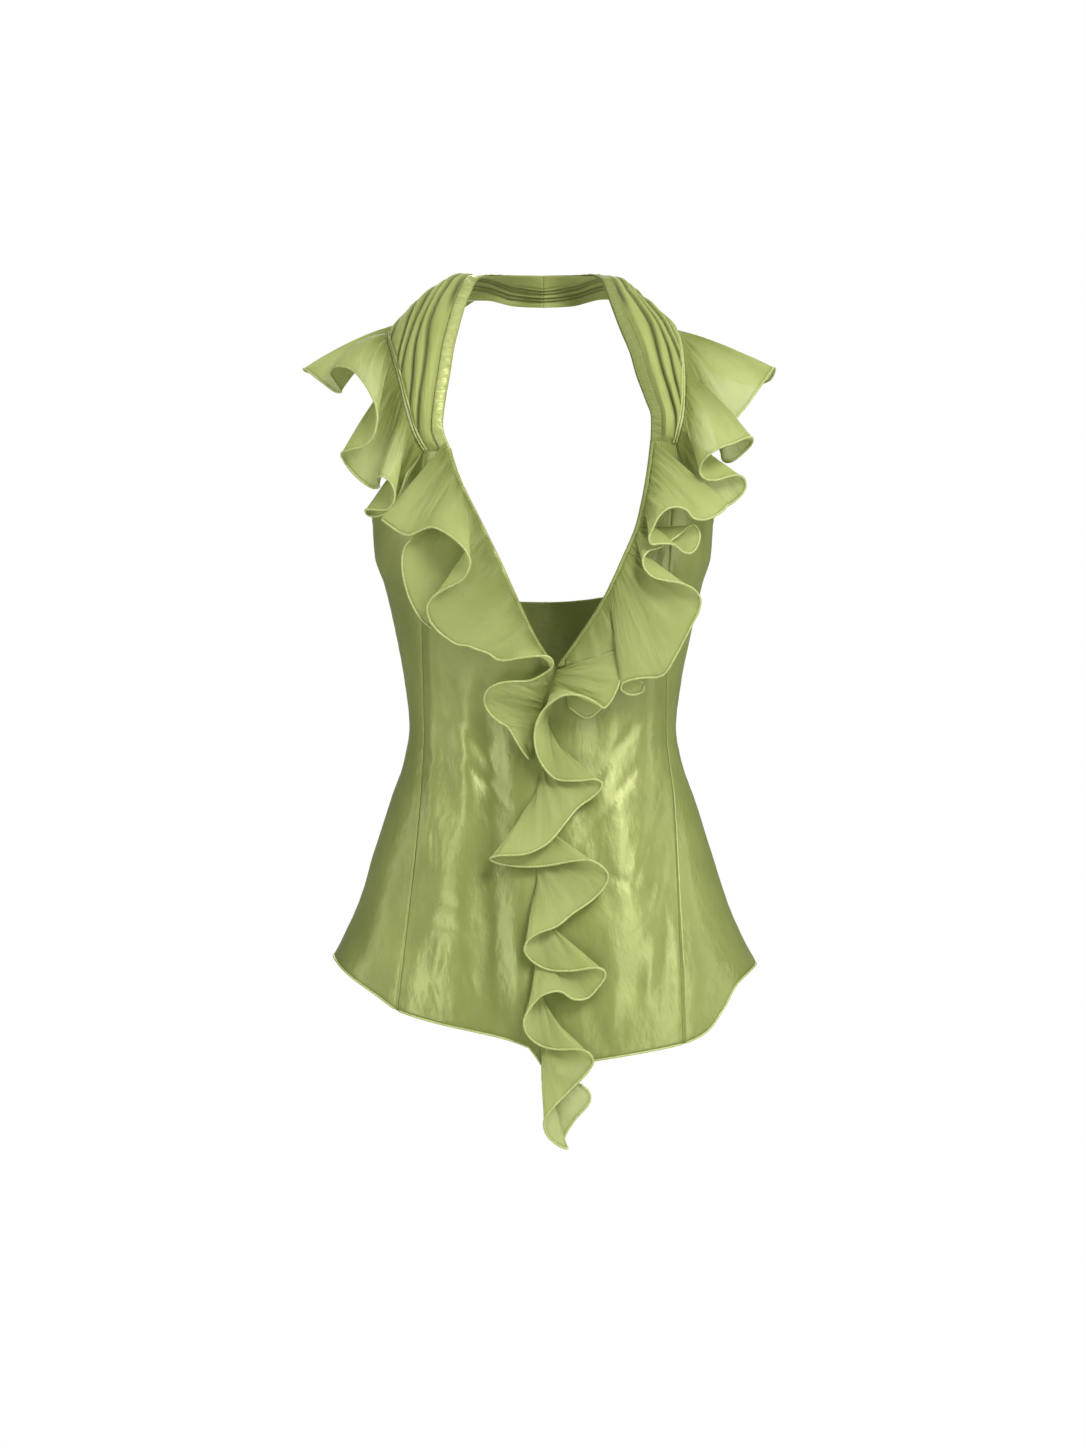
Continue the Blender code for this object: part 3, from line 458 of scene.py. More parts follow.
@dataclass(frozen=True)
class Body:
    """The general figure's form that the cut of the top gives."""

    power: float = 2.3  # 2 is an ellipse, more is squarer
    lay_power: float = 2.5
    lay_room: float = 60.0  # how much wider than the body the line is that the ruffles lie on
    bust_x: float = 72.0
    bust_z: float = -262.0
    bust_fullness: float = 5.0
    bust_spread_x: float = 36.0
    bust_spread_z: float = 44.0
    girths: ClassVar[Table] = Table(GIRTHS)

    def point(self, angle: Array, z: Array) -> Array:
        """Points of the surface.

        Args:
            angle: degrees round from the front to the wearer's left.
            z: heights.

        Returns:
            The points, in millimetres.
        """
        half_width, front, back = self.girths.at(z).T
        turn = np.radians(angle)
        across, along = np.sin(turn), -np.cos(turn)
        depth = np.where(along < 0, front, back)
        x = half_width * np.sign(across) * np.abs(across) ** (2 / self.power)
        y = depth * np.sign(along) * np.abs(along) ** (2 / self.power)
        side = ((np.abs(x) - self.bust_x) / self.bust_spread_x) ** 2
        height = ((z - self.bust_z) / self.bust_spread_z) ** 2
        fullness = self.bust_fullness * np.exp(-side - height) * np.clip(-2 * along, 0, 1)
        return np.stack([x, y - fullness, z], axis=-1)

    def angle(self, x: Array, z: Array) -> Array:
        """The angle of the front's point at x."""
        share = np.minimum(np.abs(x) / self.girths.at(z)[:, 0], 0.999)
        return np.sign(x) * np.degrees(np.arcsin(share ** (self.power / 2)))

    def front(self, x: Array, z: Array) -> Array:
        """The y of the front at x."""
        return self.point(self.angle(x, z), z)[:, 1]

    def ruffle_line(self, x: Array, z: Array) -> Array:
        """The flatter line that ruffles lie on, never behind the body.

        Args:
            x: places across the body.
            z: their heights.

        Returns:
            The y at each place.
        """
        half_width, front, _ = self.girths.at(z).T
        share = np.minimum(np.abs(x) / (half_width + self.lay_room), 0.98)
        flat = -front * (1 - share**self.lay_power) ** (1 / self.lay_power)
        return np.minimum(flat, self.front(x, z))


BODY = Body()


class Cut(NamedTuple):
    """The flat piece of cloth that a sheet was cut from, in metres."""

    width: float
    length: float
    area: float


class ClothSheet:
    """A sheet of cloth as a grid of points, u across it and v down it."""

    def __init__(self, columns: int, rows: int, shape: Shape) -> None:
        """Places the grid's points.

        Args:
            columns: the number of faces across.
            rows: the number of faces down.
            shape: gives the points, in millimetres, at u and v.
        """
        self.columns, self.rows = columns, rows
        self.u, self.v = np.meshgrid(np.linspace(0, 1, columns + 1), np.linspace(0, 1, rows + 1))
        self.points = shape(self.u.ravel(), self.v.ravel()).reshape(rows + 1, columns + 1, 3)
        self.depth = np.zeros(self.u.shape)  # painted shade at each point, 0 (open cloth) to 1 (darkest)

    def normals(self) -> Array:
        """The directions square to the sheet at its points.

        Returns:
            A vector of length one for each point.
        """
        down = np.gradient(self.points, axis=0)
        across = np.gradient(self.points, axis=1)
        return unit(np.cross(across, down))

    def push(self, heights: Array) -> None:
        """Moves the points along the sheet's normals by heights."""
        self.points = self.points + self.normals() * heights[..., None]

    def area(self) -> float:
        """The sheet's area.

        Returns:
            The area in square metres.
        """
        p = self.points
        first = np.cross(p[1:, :-1] - p[:-1, :-1], p[:-1, 1:] - p[:-1, :-1])
        second = np.cross(p[1:, :-1] - p[1:, 1:], p[:-1, 1:] - p[1:, 1:])
        twice = np.linalg.norm(first, axis=-1).sum() + np.linalg.norm(second, axis=-1).sum()
        return float(twice) / 2 * MM**2

    def build(
        self, name: str, wall: float, cut: Cut, grow: float = -1.0, flip: bool = False
    ) -> Piece:
        """Makes the sheet's object.

        Args:
            name: the piece's name.
            wall: the cloth's thickness.
            cut: the flat cut, whose size scales the weave's map.
            grow: which way the wall goes from the points: -1 inwards, 0 both ways.
            flip: whether the faces are turned over, so that they point outwards.

        Returns:
            The piece, linked to the scene.
        """
        sheet = bmesh.new()
        sheet.loops.layers.uv.new("cut")
        bmesh.ops.create_grid(
            sheet, x_segments=self.columns, y_segments=self.rows, size=0.5, calc_uvs=True
        )
        if flip:
            bmesh.ops.reverse_faces(sheet, faces=sheet.faces)
        piece = solid_form(name, sheet)
        mesh = piece.data
        flat = np.zeros(len(mesh.vertices) * 3)
        mesh.vertices.foreach_get("co", flat)
        place = flat.reshape(-1, 3)[:, :2] + 0.5
        column = np.rint(place[:, 0] * self.columns).astype(int)
        row = np.rint(place[:, 1] * self.rows).astype(int)
        mesh.vertices.foreach_set("co", to_world(self.points[row, column]).ravel())
        corners = np.zeros(len(mesh.loops), int)
        mesh.loops.foreach_get("vertex_index", corners)
        weave = np.stack([place[:, 0] * cut.width, place[:, 1] * cut.length], axis=-1)
        mesh.uv_layers["cut"].data.foreach_set("uv", weave[corners].ravel())
        # the painted shade, which the finishes mix towards their darkest colour
        deep = mesh.attributes.new("fold_depth", "FLOAT", "POINT")
        deep.data.foreach_set("value", np.clip(self.depth[row, column], 0, 1))
        mesh.update()
        solid = piece.modifiers.new("wall", "SOLIDIFY")
        solid.thickness = wall * MM
        solid.offset = grow
        return piece


def to_world(points: Array) -> Array:
    """Points of the tables as metres from the nape."""
    return (points - (0, NAPE_Y, 0)) * MM


def add_object(name: str, data: bpy.types.ID) -> Piece:
    """Puts a new object in the scene.

    Args:
        name: the object's name.
        data: its mesh, light or camera.

    Returns:
        The object.
    """
    piece = bpy.data.objects.new(name, data)
    bpy.context.scene.collection.objects.link(piece)
    return piece


def solid_form(name: str, form: bmesh.types.BMesh) -> Piece:
    """Turns a bmesh into a smooth object in the scene.

    Args:
        name: the object's name.
        form: the bmesh, which is freed.

    Returns:
        The object.
    """
    mesh = bpy.data.meshes.new(name)
    form.to_mesh(mesh)
    form.free()
    mesh.shade_smooth()
    return add_object(name, mesh)


def make_tube(
    name: str, path: Array, aside: Array, radius: float, sides: int = 8, flat: float = 1.0
) -> Piece:
    """A closed tube along a path, such as a rolled hem or a cord.

    Args:
        name: the piece's name.
        path: the points of its middle line.
        aside: at each point, a direction away from the line.
        radius: its radius, which falls to nothing at both ends.
        sides: how many faces go round it.
        flat: its height over its width.

    Returns:
        The piece, linked to the scene.
    """
    count = len(path) - 1
    along = unit(np.gradient(path, axis=0))
    first = unit(aside - along * (aside * along).sum(axis=1, keepdims=True))
    second = np.cross(along, first)
    tube = bmesh.new()
    bmesh.ops.create_grid(tube, x_segments=count, y_segments=sides, size=0.5)
    for vertex in tube.verts:
        number = round((vertex.co.x + 0.5) * count)
        turn = math.tau * round((vertex.co.y + 0.5) * sides) / sides
        reach = radius * min(1, number, count - number)
        offset = first[number] * math.cos(turn) + second[number] * math.sin(turn) * flat
        vertex.co = to_world(path[number] + offset * reach)
    bmesh.ops.remove_doubles(tube, verts=tube.verts, dist=1e-6)
    bmesh.ops.recalc_face_normals(tube, faces=tube.faces)
    return solid_form(name, tube)


def make_stitches(
    name: str, path: Array, normals: Array, length: float, gap: float
) -> Piece:
    """A row of stitches as short rounded threads.

    Args:
        name: the piece's name.
        path: the line that is sewn.
        normals: the cloth's outward directions along it.
        length: a stitch's length.
        gap: the cloth between two stitches.

    Returns:
        The piece, linked to the scene.
    """
    run = np.concatenate([[0], np.cumsum(np.linalg.norm(np.diff(path, axis=0), axis=1))])
    stitches = bmesh.new()
    for start in np.arange(gap, run[-1] - length, length + gap):
        ends = [
            np.array([np.interp(at, run, path[:, k]) for k in range(3)])
            for at in (start, start + length)
        ]
        out = np.array([np.interp(start, run, normals[:, k]) for k in range(3)])
        middle, along = (ends[0] + ends[1]) / 2, Vector(unit(ends[1] - ends[0]))
        up = (Vector(out) - along * along.dot(Vector(out))).normalized()
        axes = Matrix((along, along.cross(up), up)).transposed().to_4x4()
        size = Matrix.Diagonal((length / 2 * MM, 0.28 * MM, 0.2 * MM, 1))
        place = Matrix.Translation(Vector(to_world(middle))) @ axes @ size
        bmesh.ops.create_uvsphere(stitches, u_segments=6, v_segments=4, radius=1, matrix=place)
    bmesh.ops.recalc_face_normals(stitches, faces=stitches.faces)
    return solid_form(name, stitches)


def colour(code: str) -> tuple[float, float, float, float]:
    """An sRGB hex colour as linear light.

    Args:
        code: the colour, as # and six digits.

    Returns:
        Red, green, blue and alpha.
    """
    parts = [int(code[i : i + 2], 16) / 255 for i in (1, 3, 5)]
    linear = [p / 12.92 if p <= 0.04045 else ((p + 0.055) / 1.055) ** 2.4 for p in parts]
    return (*linear, 1.0)


def add(
    tree: Tree, kind: str, inputs: dict[str | int, object], **settings: object
) -> bpy.types.Node:
    """Adds a node with its settings, values and links.

    Args:
        tree: the material's nodes.
        kind: Blender's name for the kind of node.
        inputs: a value, or another node's output, for each input that is set.
        settings: the node's own settings.

    Returns:
        The node.
    """
    node = tree.nodes.new(kind)
    for name, value in settings.items():
        setattr(node, name, value)
    for name, value in inputs.items():
        if isinstance(value, Socket):
            tree.links.new(value, node.inputs[name])
        else:
            node.inputs[name].default_value = value
    return node


def with_painted_shade(
    tree: Tree, tone: Socket, deep: str
) -> Socket:
    """A cloth's colour with painted shade: darker and fuller where the painted shade attribute is
    high.

    Args:
        tree: the material's nodes.
        tone: the colour on open cloth.
        deep: the colour of the darkest painted shade, as at the bottom of a fold.

    Returns:
        The mixed colour.
    """
    depth = add(tree, "ShaderNodeAttribute", {}, attribute_name="fold_depth").outputs["Fac"]
    ends = {0: depth, 6: tone, 7: colour(deep)}
    return add(tree, "ShaderNodeMix", ends, data_type="RGBA").outputs[2]


def noise(
    tree: Tree, place: Socket, size_mm: float, detail: float = 2.0,
    roughness: float = 0.5,
) -> Socket:
    """Soft noise.

    Args:
        tree: the material's nodes.
        place: the coordinates that it is read at, in metres.
        size_mm: the size of its patches.
        detail: how many finer layers it has.
        roughness: how strong they are.

    Returns:
        Its value, from 0 to 1.
    """
    return add(tree, "ShaderNodeTexNoise", {
        "Vector": place, "Scale": 1 / (size_mm * MM), "Detail": detail, "Roughness": roughness,
    }).outputs["Fac"]


def blended(
    tree: Tree, share: Socket, dark: str, light: str
) -> Socket:
    """A colour between two others.

    Args:
        tree: the material's nodes.
        share: how far it lies from the dark colour to the light one.
        dark: the dark colour.
        light: the light colour.

    Returns:
        The mixed colour.
    """
    ends = {0: share, 6: colour(dark), 7: colour(light)}
    return add(tree, "ShaderNodeMix", ends, data_type="RGBA").outputs[2]


def bump(
    tree: Tree, height: Socket, height_mm: float, strength: float = 1.0,
    **under: Socket,
) -> Socket:
    """Fine relief.

    Args:
        tree: the material's nodes.
        height: the relief, from 0 to 1.
        height_mm: how high it is.
        strength: the share of it that shows.
        under: Normal, the coarser relief that it lies on, if there is one.

    Returns:
        The turned normal.
    """
    return add(tree, "ShaderNodeBump", {
        "Height": height, "Distance": height_mm * MM, "Strength": strength, **under,
    }).outputs["Normal"]


def new_material(name: str) -> bpy.types.Material:
    """A material with no nodes.

    Args:
        name: the material's name.

    Returns:
        The material.
    """
    material = bpy.data.materials.new(name)
    material.use_nodes = True
    material.node_tree.nodes.clear()
    return material


@dataclass(frozen=True)
class SilkSatin:
    """Silk satin: long floats of filament silk, so it shines in broad streaks along the body."""

    name: str = "silk satin"
    light: str = "#868E4E"
    dark: str = "#5F6930"
    # painted shade: the colour of the darkest painted shade in troughs, at seams and above the hem
    deep: str = "#4A5119"
    shine: str = "#F3F5B4"  # the dyed floats colour what they mirror
    bloom: str = "#D5DDA2"
    roughness: float = 0.4
    anisotropy: float = 0.45
    sheen: float = 0.03
    patch_mm: float = 55.0  # soft lighter and darker patches
    ripple_mm: float = 10.0  # slight puckers in the cloth
    ripple_height_mm: float = 0.8
    ripple_draw: float = 0.55  # under 1 they are longer down the body than across it
    bending: float = 1.6  # silk's index of refraction
    gloss: float = 0.95
    rib_mm: float = 1.3  # the slanting rib of the weave, drawn coarser than its real 0.3 mm to show
    rib_height_mm: float = 0.03

    def material(self) -> bpy.types.Material:
        """Makes the finish's nodes, which read the cut's map in metres.

        Returns:
            The material.
        """
        material = new_material(self.name)
        tree = material.node_tree
        place = add(tree, "ShaderNodeUVMap", {}, uv_map="cut").outputs["UV"]
        solid = add(tree, "ShaderNodeTexCoord", {}).outputs["Object"]
        tone = blended(tree, noise(tree, solid, self.patch_mm), self.dark, self.light)
        drawn = add(tree, "ShaderNodeMapping", {"Vector": solid, "Scale": (1, 1, self.ripple_draw)})
        ripples = noise(tree, drawn.outputs["Vector"], self.ripple_mm, detail=5.0)
        rib = add(tree, "ShaderNodeTexWave", {
            "Vector": place, "Scale": 1 / (self.rib_mm * MM) / 20, "Distortion": 0.6, "Detail": 1.0,
        }, wave_type="BANDS", bands_direction="DIAGONAL")
        pucker = bump(tree, ripples, self.ripple_height_mm)
        weave = bump(tree, rib.outputs["Fac"], self.rib_height_mm, Normal=pucker)
        tangent = add(tree, "ShaderNodeTangent", {}, direction_type="UV_MAP", uv_map="cut")
        shader = add(tree, "ShaderNodeBsdfPrincipled", {
            "Base Color": with_painted_shade(tree, tone, self.deep), "Roughness": self.roughness,
            "Metallic": 0.0, "IOR": self.bending, "Specular IOR Level": self.gloss,
            "Specular Tint": colour(self.shine),
            "Anisotropic": self.anisotropy, "Anisotropic Rotation": 0.25,
            "Sheen Weight": self.sheen, "Sheen Roughness": 0.4, "Sheen Tint": colour(self.bloom),
            "Normal": weave, "Tangent": tangent.outputs["Tangent"],
        })
        add(tree, "ShaderNodeOutputMaterial", {"Surface": shader.outputs["BSDF"]})
        return material


@dataclass(frozen=True)
class SilkGeorgette:
    """Silk georgette: crepe yarns in an open weave, so it is matte and lets some light through."""

    name: str = "silk georgette"
    light: str = "#C8D08F"
    dark: str = "#AEB76D"
    # painted shade: the colour of the darkest painted shade in folds, at seams and along the hem
    deep: str = "#7C8440"
    through: str = "#DCE2A6"
    roughness: float = 0.62
    sheen: float = 0.25
    bloom: str = "#DDE4B5"
    gloss: float = 0.35
    cover: float = 0.57  # share that the yarns close, at each of the wall's two faces
    shade_closing: float = 0.45  # how much more they close where the painted shade lies: at the seam where gathers bunch, and in painted valleys and hem lines
    glow: float = 0.34  # share of light that passes and is spread
    patch_mm: float = 30.0
    crumple_mm: float = 11.0  # soft creases that run from a seam to the hem
    crumple_height_mm: float = 3.0
    crumple_draw: float = 0.3  # under 1 they are longer towards the hem than along it
    grain_mm: float = 1.1  # the crepe grain, drawn coarser than its real 0.3 mm to show
    grain_height_mm: float = 0.05

    def material(self) -> bpy.types.Material:
        """Makes the finish's nodes, which read the cut's map in metres.

        Returns:
            The material.
        """
        material = new_material(self.name)
        tree = material.node_tree
        place = add(tree, "ShaderNodeUVMap", {}, uv_map="cut").outputs["UV"]
        solid = add(tree, "ShaderNodeTexCoord", {}).outputs["Object"]
        tone = blended(tree, noise(tree, solid, self.patch_mm), self.dark, self.light)
        grain = noise(tree, place, self.grain_mm, roughness=0.6)
        stretch = (1, self.crumple_draw, 1)
        drawn = add(tree, "ShaderNodeMapping", {"Vector": place, "Scale": stretch})
        crumple = noise(tree, drawn.outputs["Vector"], self.crumple_mm, roughness=0.45)
        creased = bump(tree, crumple, self.crumple_height_mm)
        crepe = bump(tree, grain, self.grain_height_mm, strength=0.7, Normal=creased)
        # the painted shade also closes the weave, so less light shows through there
        depth = add(tree, "ShaderNodeAttribute", {}, attribute_name="fold_depth").outputs["Fac"]
        closed = add(tree, "ShaderNodeMath", {
            0: depth, 1: self.shade_closing, 2: self.cover,
        }, operation="MULTIPLY_ADD", use_clamp=True)
        shader = add(tree, "ShaderNodeBsdfPrincipled", {
            "Base Color": with_painted_shade(tree, tone, self.deep), "Roughness": self.roughness,
            "Metallic": 0.0, "Specular IOR Level": self.gloss, "Alpha": closed.outputs["Value"],
            "Sheen Weight": self.sheen, "Sheen Roughness": 0.5, "Sheen Tint": colour(self.bloom),
            "Normal": crepe,
        })
        spread = add(tree, "ShaderNodeBsdfTranslucent", {
            "Color": colour(self.through), "Normal": crepe,
        })
        both = add(tree, "ShaderNodeMixShader", {
            "Fac": self.glow, 1: shader.outputs["BSDF"], 2: spread.outputs["BSDF"],
        })
        add(tree, "ShaderNodeOutputMaterial", {"Surface": both.outputs["Shader"]})
        return material


@dataclass(frozen=True)
class RolledHem:
    """Rolled silk hem: the georgette turned twice, so it is closed, deeper in colour and soft."""

    name: str = "rolled silk hem"
    dark: str = "#848C48"
    light: str = "#B6BE7C"
    bloom: str = "#CBD694"
    roughness: float = 0.5
    sheen: float = 0.2
    stitch_mm: float = 2.2
    stitch_height_mm: float = 0.15

    def material(self) -> bpy.types.Material:
        """Makes the finish's nodes.

        Returns:
            The material.
        """
        material = new_material(self.name)
        tree = material.node_tree
        solid = add(tree, "ShaderNodeTexCoord", {}).outputs["Object"]
        twist = noise(tree, solid, self.stitch_mm, detail=1.0)
        shader = add(tree, "ShaderNodeBsdfPrincipled", {
            "Base Color": blended(tree, twist, self.dark, self.light),
            "Roughness": self.roughness, "Metallic": 0.0,
            "Specular IOR Level": 0.5, "Sheen Weight": self.sheen, "Sheen Roughness": 0.5,
            "Sheen Tint": colour(self.bloom),
            "Normal": bump(tree, twist, self.stitch_height_mm, strength=0.8),
        })
        add(tree, "ShaderNodeOutputMaterial", {"Surface": shader.outputs["BSDF"]})
        return material


@dataclass(frozen=True)
class Finishes:
    """The finishes of all the pieces, made once."""

    satin: bpy.types.Material
    georgette: bpy.types.Material
    pleated: bpy.types.Material
    band: bpy.types.Material
    hem: bpy.types.Material
    thread: bpy.types.Material

    @classmethod
    def make(cls) -> "Finishes":
        """Makes the finishes.

        Returns:
            All of them.
        """
        return cls(
            satin=SilkSatin().material(),
            georgette=SilkGeorgette().material(),
            # darker than the ruffles' georgette: partly for its layers, partly painted shade
            pleated=SilkGeorgette(
                name="silk georgette in layered pleats",
                light="#9FA760", dark="#8B934C", deep="#394010", cover=1.0, glow=0.12,
                crumple_mm=7.0, crumple_height_mm=0.8,
            ).material(),
            band=SilkSatin(
                name="silk satin band", light="#A8AE72", dark="#868C4B", roughness=0.32, gloss=0.42,
                patch_mm=9.0, ripple_mm=5.0, ripple_height_mm=0.55,
            ).material(),
            hem=RolledHem().material(),
            thread=RolledHem(name="silk sewing thread").material(),
        )


def finish_piece(
    piece: Piece, material: bpy.types.Material, node: str = ""
) -> None:
    """Gives a piece its material and joins it to the frame.

    Args:
        piece: the piece.
        material: its finish.
        node: the CAD node that it stands for, if it stands for one.
    """
    piece.data.materials.append(material)
    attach(piece, "root")
    if node:
        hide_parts(node)
    log.info("%s: %d faces", piece.name, len(piece.data.polygons))


def crease_heights(x: Array, z: Array, creases: Sequence[Crease]) -> Array:
    """How far creases and slow waves raise the satin at x, z.

    Args:
        x: places across the body, seen from the front.
        z: their heights.
        creases: the troughs and ridges.

    Returns:
        The height at each place.
    """
    heights = np.zeros_like(x)
    for crease in creases:
        run = np.array([crease.x2 - crease.x1, crease.z2 - crease.z1], float)
        length = np.linalg.norm(run)
        run /= length
        along = (x - crease.x1) * run[0] + (z - crease.z1) * run[1]
        aside = (x - crease.x1) * run[1] - (z - crease.z1) * run[0]
        share = np.clip(along / length, 0, 1)
        beyond = np.maximum(np.maximum(-along, along - length), 0)
        taper = np.sin(np.pi * (CREASE_START + CREASE_RUN * share)) ** CREASE_FULLNESS
        taper = taper * np.exp(-((beyond / crease.width) ** 2))
        heights += crease.height * taper * np.exp(-((aside / crease.width) ** 2))
    for wave in WAVES:
        drift = WAVE_DRIFT * np.sin(z / WAVE_DRIFT_LENGTH)
        across = np.sin(math.tau * (x / wave.length_x + wave.phase_x + drift))
        down = np.sin(math.tau * (z / wave.length_z + wave.phase_z + x / WAVE_SLANT))
        heights += wave.height * across * down
    return heights


@dataclass
class SatinBody:
    """The five satin panels: two fronts, two sides and the back."""

    finishes: Finishes
    seam_gap: float = 0.02
    rows_above_v: int = 8  # the tables' share of the height above the point of the V
    rows_below_v: int = 14
    front_columns: int = 10
    band_columns: int = 2
    hem_start_z: float = -573.0  # a first guess that the hem's height is found from
    hem_tries: int = 4
    seam_low_z: float = -600.0  # where the princess seam's angle is read
    centre_low_z: float = -650.0
    dip: float = 0.14  # how far the cloth turns in at a seam
    dip_width: float = 1.5
    swell: float = 0.02  # the slight rise beside it
    swell_place: float = 4.0
    swell_width: float = 2.5
    pucker_height: float = 0.12
    pucker_fade: float = 9.0
    pucker_beat: Beat = Beat(13.0, 0.3, 37.0)
    hem_calm: float = 40.0  # creases die down over this height above the hem
    hem_share: float = 0.2  # and keep this share there
    seam_calm: float = 14.0  # they end this far from a seam
    crease_shade_depth: float = 6.0  # the trough depth at which the painted shade is darkest
    hem_shade: float = 3.0  # width of the painted dark line above the hem
    front_grid: tuple[int, int] = (70, 170)
    side_grid: tuple[int, int] = (42, 170)
    back_grid: tuple[int, int] = (120, 170)
    front_cut: Cut = Cut(0.135, 0.55, 0.049)
    side_cut: Cut = Cut(0.14, 0.5, 0.036)
    back_cut: Cut = Cut(0.5, 0.395, 0.134)
    neck_edge: ClassVar[Table] = Table(NECK_EDGE)
    centre_edge: ClassVar[Table] = Table(CENTRE_EDGE)
    princess_seam: ClassVar[Table] = Table(PRINCESS_SEAM)
    front_hem: ClassVar[Table] = Table(FRONT_HEM)

    def inner_edge(self, z: Array, side: Side) -> Array:
        """The x of a front panel's edge: the V neck, and below it the centre front.

        Args:
            z: heights.
            side: the wearer's side.

        Returns:
            The edge's x at each height.
        """
        neck, centre = (table.at(z)[:, side.column] for table in (self.neck_edge, self.centre_edge))
        return np.where(z > V_POINT_Z, neck, centre) + side.sign * self.seam_gap / 2

    def princess_x(self, z: Array, side: Side) -> Array:
        """The x of the princess seam."""
        return self.princess_seam.at(z)[:, side.column]

    def seam_angle(self, side: Side) -> float:
        """The princess seam's angle round the body near the hem."""
        low = np.array([self.seam_low_z])
        return float(BODY.angle(self.princess_x(low, side), low)[0])

    def hem_z(self, angle: Array) -> Array:
        """The height of the front and side panels' hem.

        Args:
            angle: degrees round the body.

        Returns:
            The height at each angle.
        """
        z = np.full_like(angle, self.hem_start_z)
        for _ in range(self.hem_tries):
            z = self.front_hem.at(BODY.point(angle, z)[:, 0])[:, 0]
        return z

    def back_hem_z(self, angle: Array) -> Array:
        """The height of the back hem, from one side seam (90) to the other (270).

        Args:
            angle: degrees round the body.

        Returns:
            The height at each angle.
        """
        share = (angle - 90) / 180
        left, right = self.hem_z(np.array([90.0, -90.0]))  # level with the side panels' hems
        return left + (right - left) * share - BACK_HEM_DIP * np.sin(np.pi * share) ** 2

    def in_rows(self, top: Array, bottom: Array, v: Array) -> Array:
        """The height at share v down a panel, as the source's rows lie.

        Args:
            top: the panel's top at each point.
            bottom: its hem.
            v: the share of the way down.

        Returns:
            The points' heights.
        """
        above = self.rows_above_v / (self.rows_above_v + self.rows_below_v)
        upper = top + (V_POINT_Z - top) * v / above
        lower = V_POINT_Z + (bottom - V_POINT_Z) * (v - above) / (1 - above)
        return np.where(v <= above, upper, lower)

    def across(self, share: Array, band_share: float, width: Array) -> Array:
        """Where a column lies across a width, when the first columns just hold the band.

        Args:
            share: the column's share of all the columns.
            band_share: the share that holds the band.
            width: the width there.

        Returns:
            The share of the width.
        """
        band = BAND_WIDTH / width
        outer = band + (1 - band) * (share - band_share) / (1 - band_share)
        return np.where(share <= band_share, band * share / band_share, outer)

    def front_point(self, u: Array, v: Array, side: Side) -> Array:
        """A front panel's points.

        Args:
            u: from its centre edge to the princess seam.
            v: from top to hem.
            side: the wearer's side.

        Returns:
            The points.
        """
        low = np.array([self.centre_low_z])
        centre = float(BODY.angle(self.inner_edge(low, side), low)[0])
        hem = self.hem_z(centre + (self.seam_angle(side) - centre) * u)
        z = self.in_rows(FRONT_TOP_Z[side], hem, v)
        inner = self.inner_edge(z, side)
        outer = self.princess_x(z, side) - side.sign * self.seam_gap / 2
        share = self.across(u, self.band_columns / self.front_columns, np.abs(outer - inner))
        x = inner + (outer - inner) * share
        return BODY.point(BODY.angle(x, z), z)

    def side_point(self, u: Array, v: Array, side: Side) -> Array:
        """A side panel's points.

        Args:
            u: from the princess seam to the side seam.
            v: from armhole to hem.
            side: the wearer's side.

        Returns:
            The points.
        """
        seam = abs(self.seam_angle(side))
        top = FRONT_TOP_Z[side]
        armhole = top + (UNDERARM_Z - top) * np.sin(u * np.pi / 2)
        z = self.in_rows(armhole, self.hem_z(side.sign * (seam + (90 - seam) * u)), v)
        start = np.abs(BODY.angle(self.princess_x(z, side) + side.sign * self.seam_gap / 2, z))
        end = 90 - self.side_clearance(BODY.girths.at(z)[:, 1])
        return BODY.point(side.sign * (start + (end - start) * u), z)

    def back_point(self, u: Array, v: Array) -> Array:
        """The back panel's points.

        Args:
            u: from the left side seam to the right one.
            v: from top to hem.

        Returns:
            The points.
        """
        top = UNDERARM_Z - BACK_TOP_DIP * np.sin(np.pi * u)
        z = self.in_rows(top, self.back_hem_z(90 + 180 * u), v)
        edge = self.side_clearance(BODY.girths.at(z)[:, 2])
        return BODY.point(90 + edge + (180 - 2 * edge) * u, z)

    def side_clearance(self, depth: Array) -> Array:
        """The angle from the side seam to a panel's edge beside it."""
        return np.degrees((self.seam_gap / 2 / depth) ** (BODY.power / 2))

    def seam_dip(self, distance: Array) -> Array:
        """How far the cloth turns in at a seam.

        Args:
            distance: how far a point lies from the seam.

        Returns:
            Its height, below zero where it turns in.
        """
        beside = (distance - self.swell_place) / self.swell_width
        inside = distance / self.dip_width
        return self.swell * np.exp(-(beside**2)) - self.dip * np.exp(-(inside**2))

    def pucker(self, distance: Array, run: Array) -> Array:
        """Small puckers along a seam, which fade over the cloth beside it."""
        return self.pucker_height * self.pucker_beat.at(run) * np.exp(-distance / self.pucker_fade)

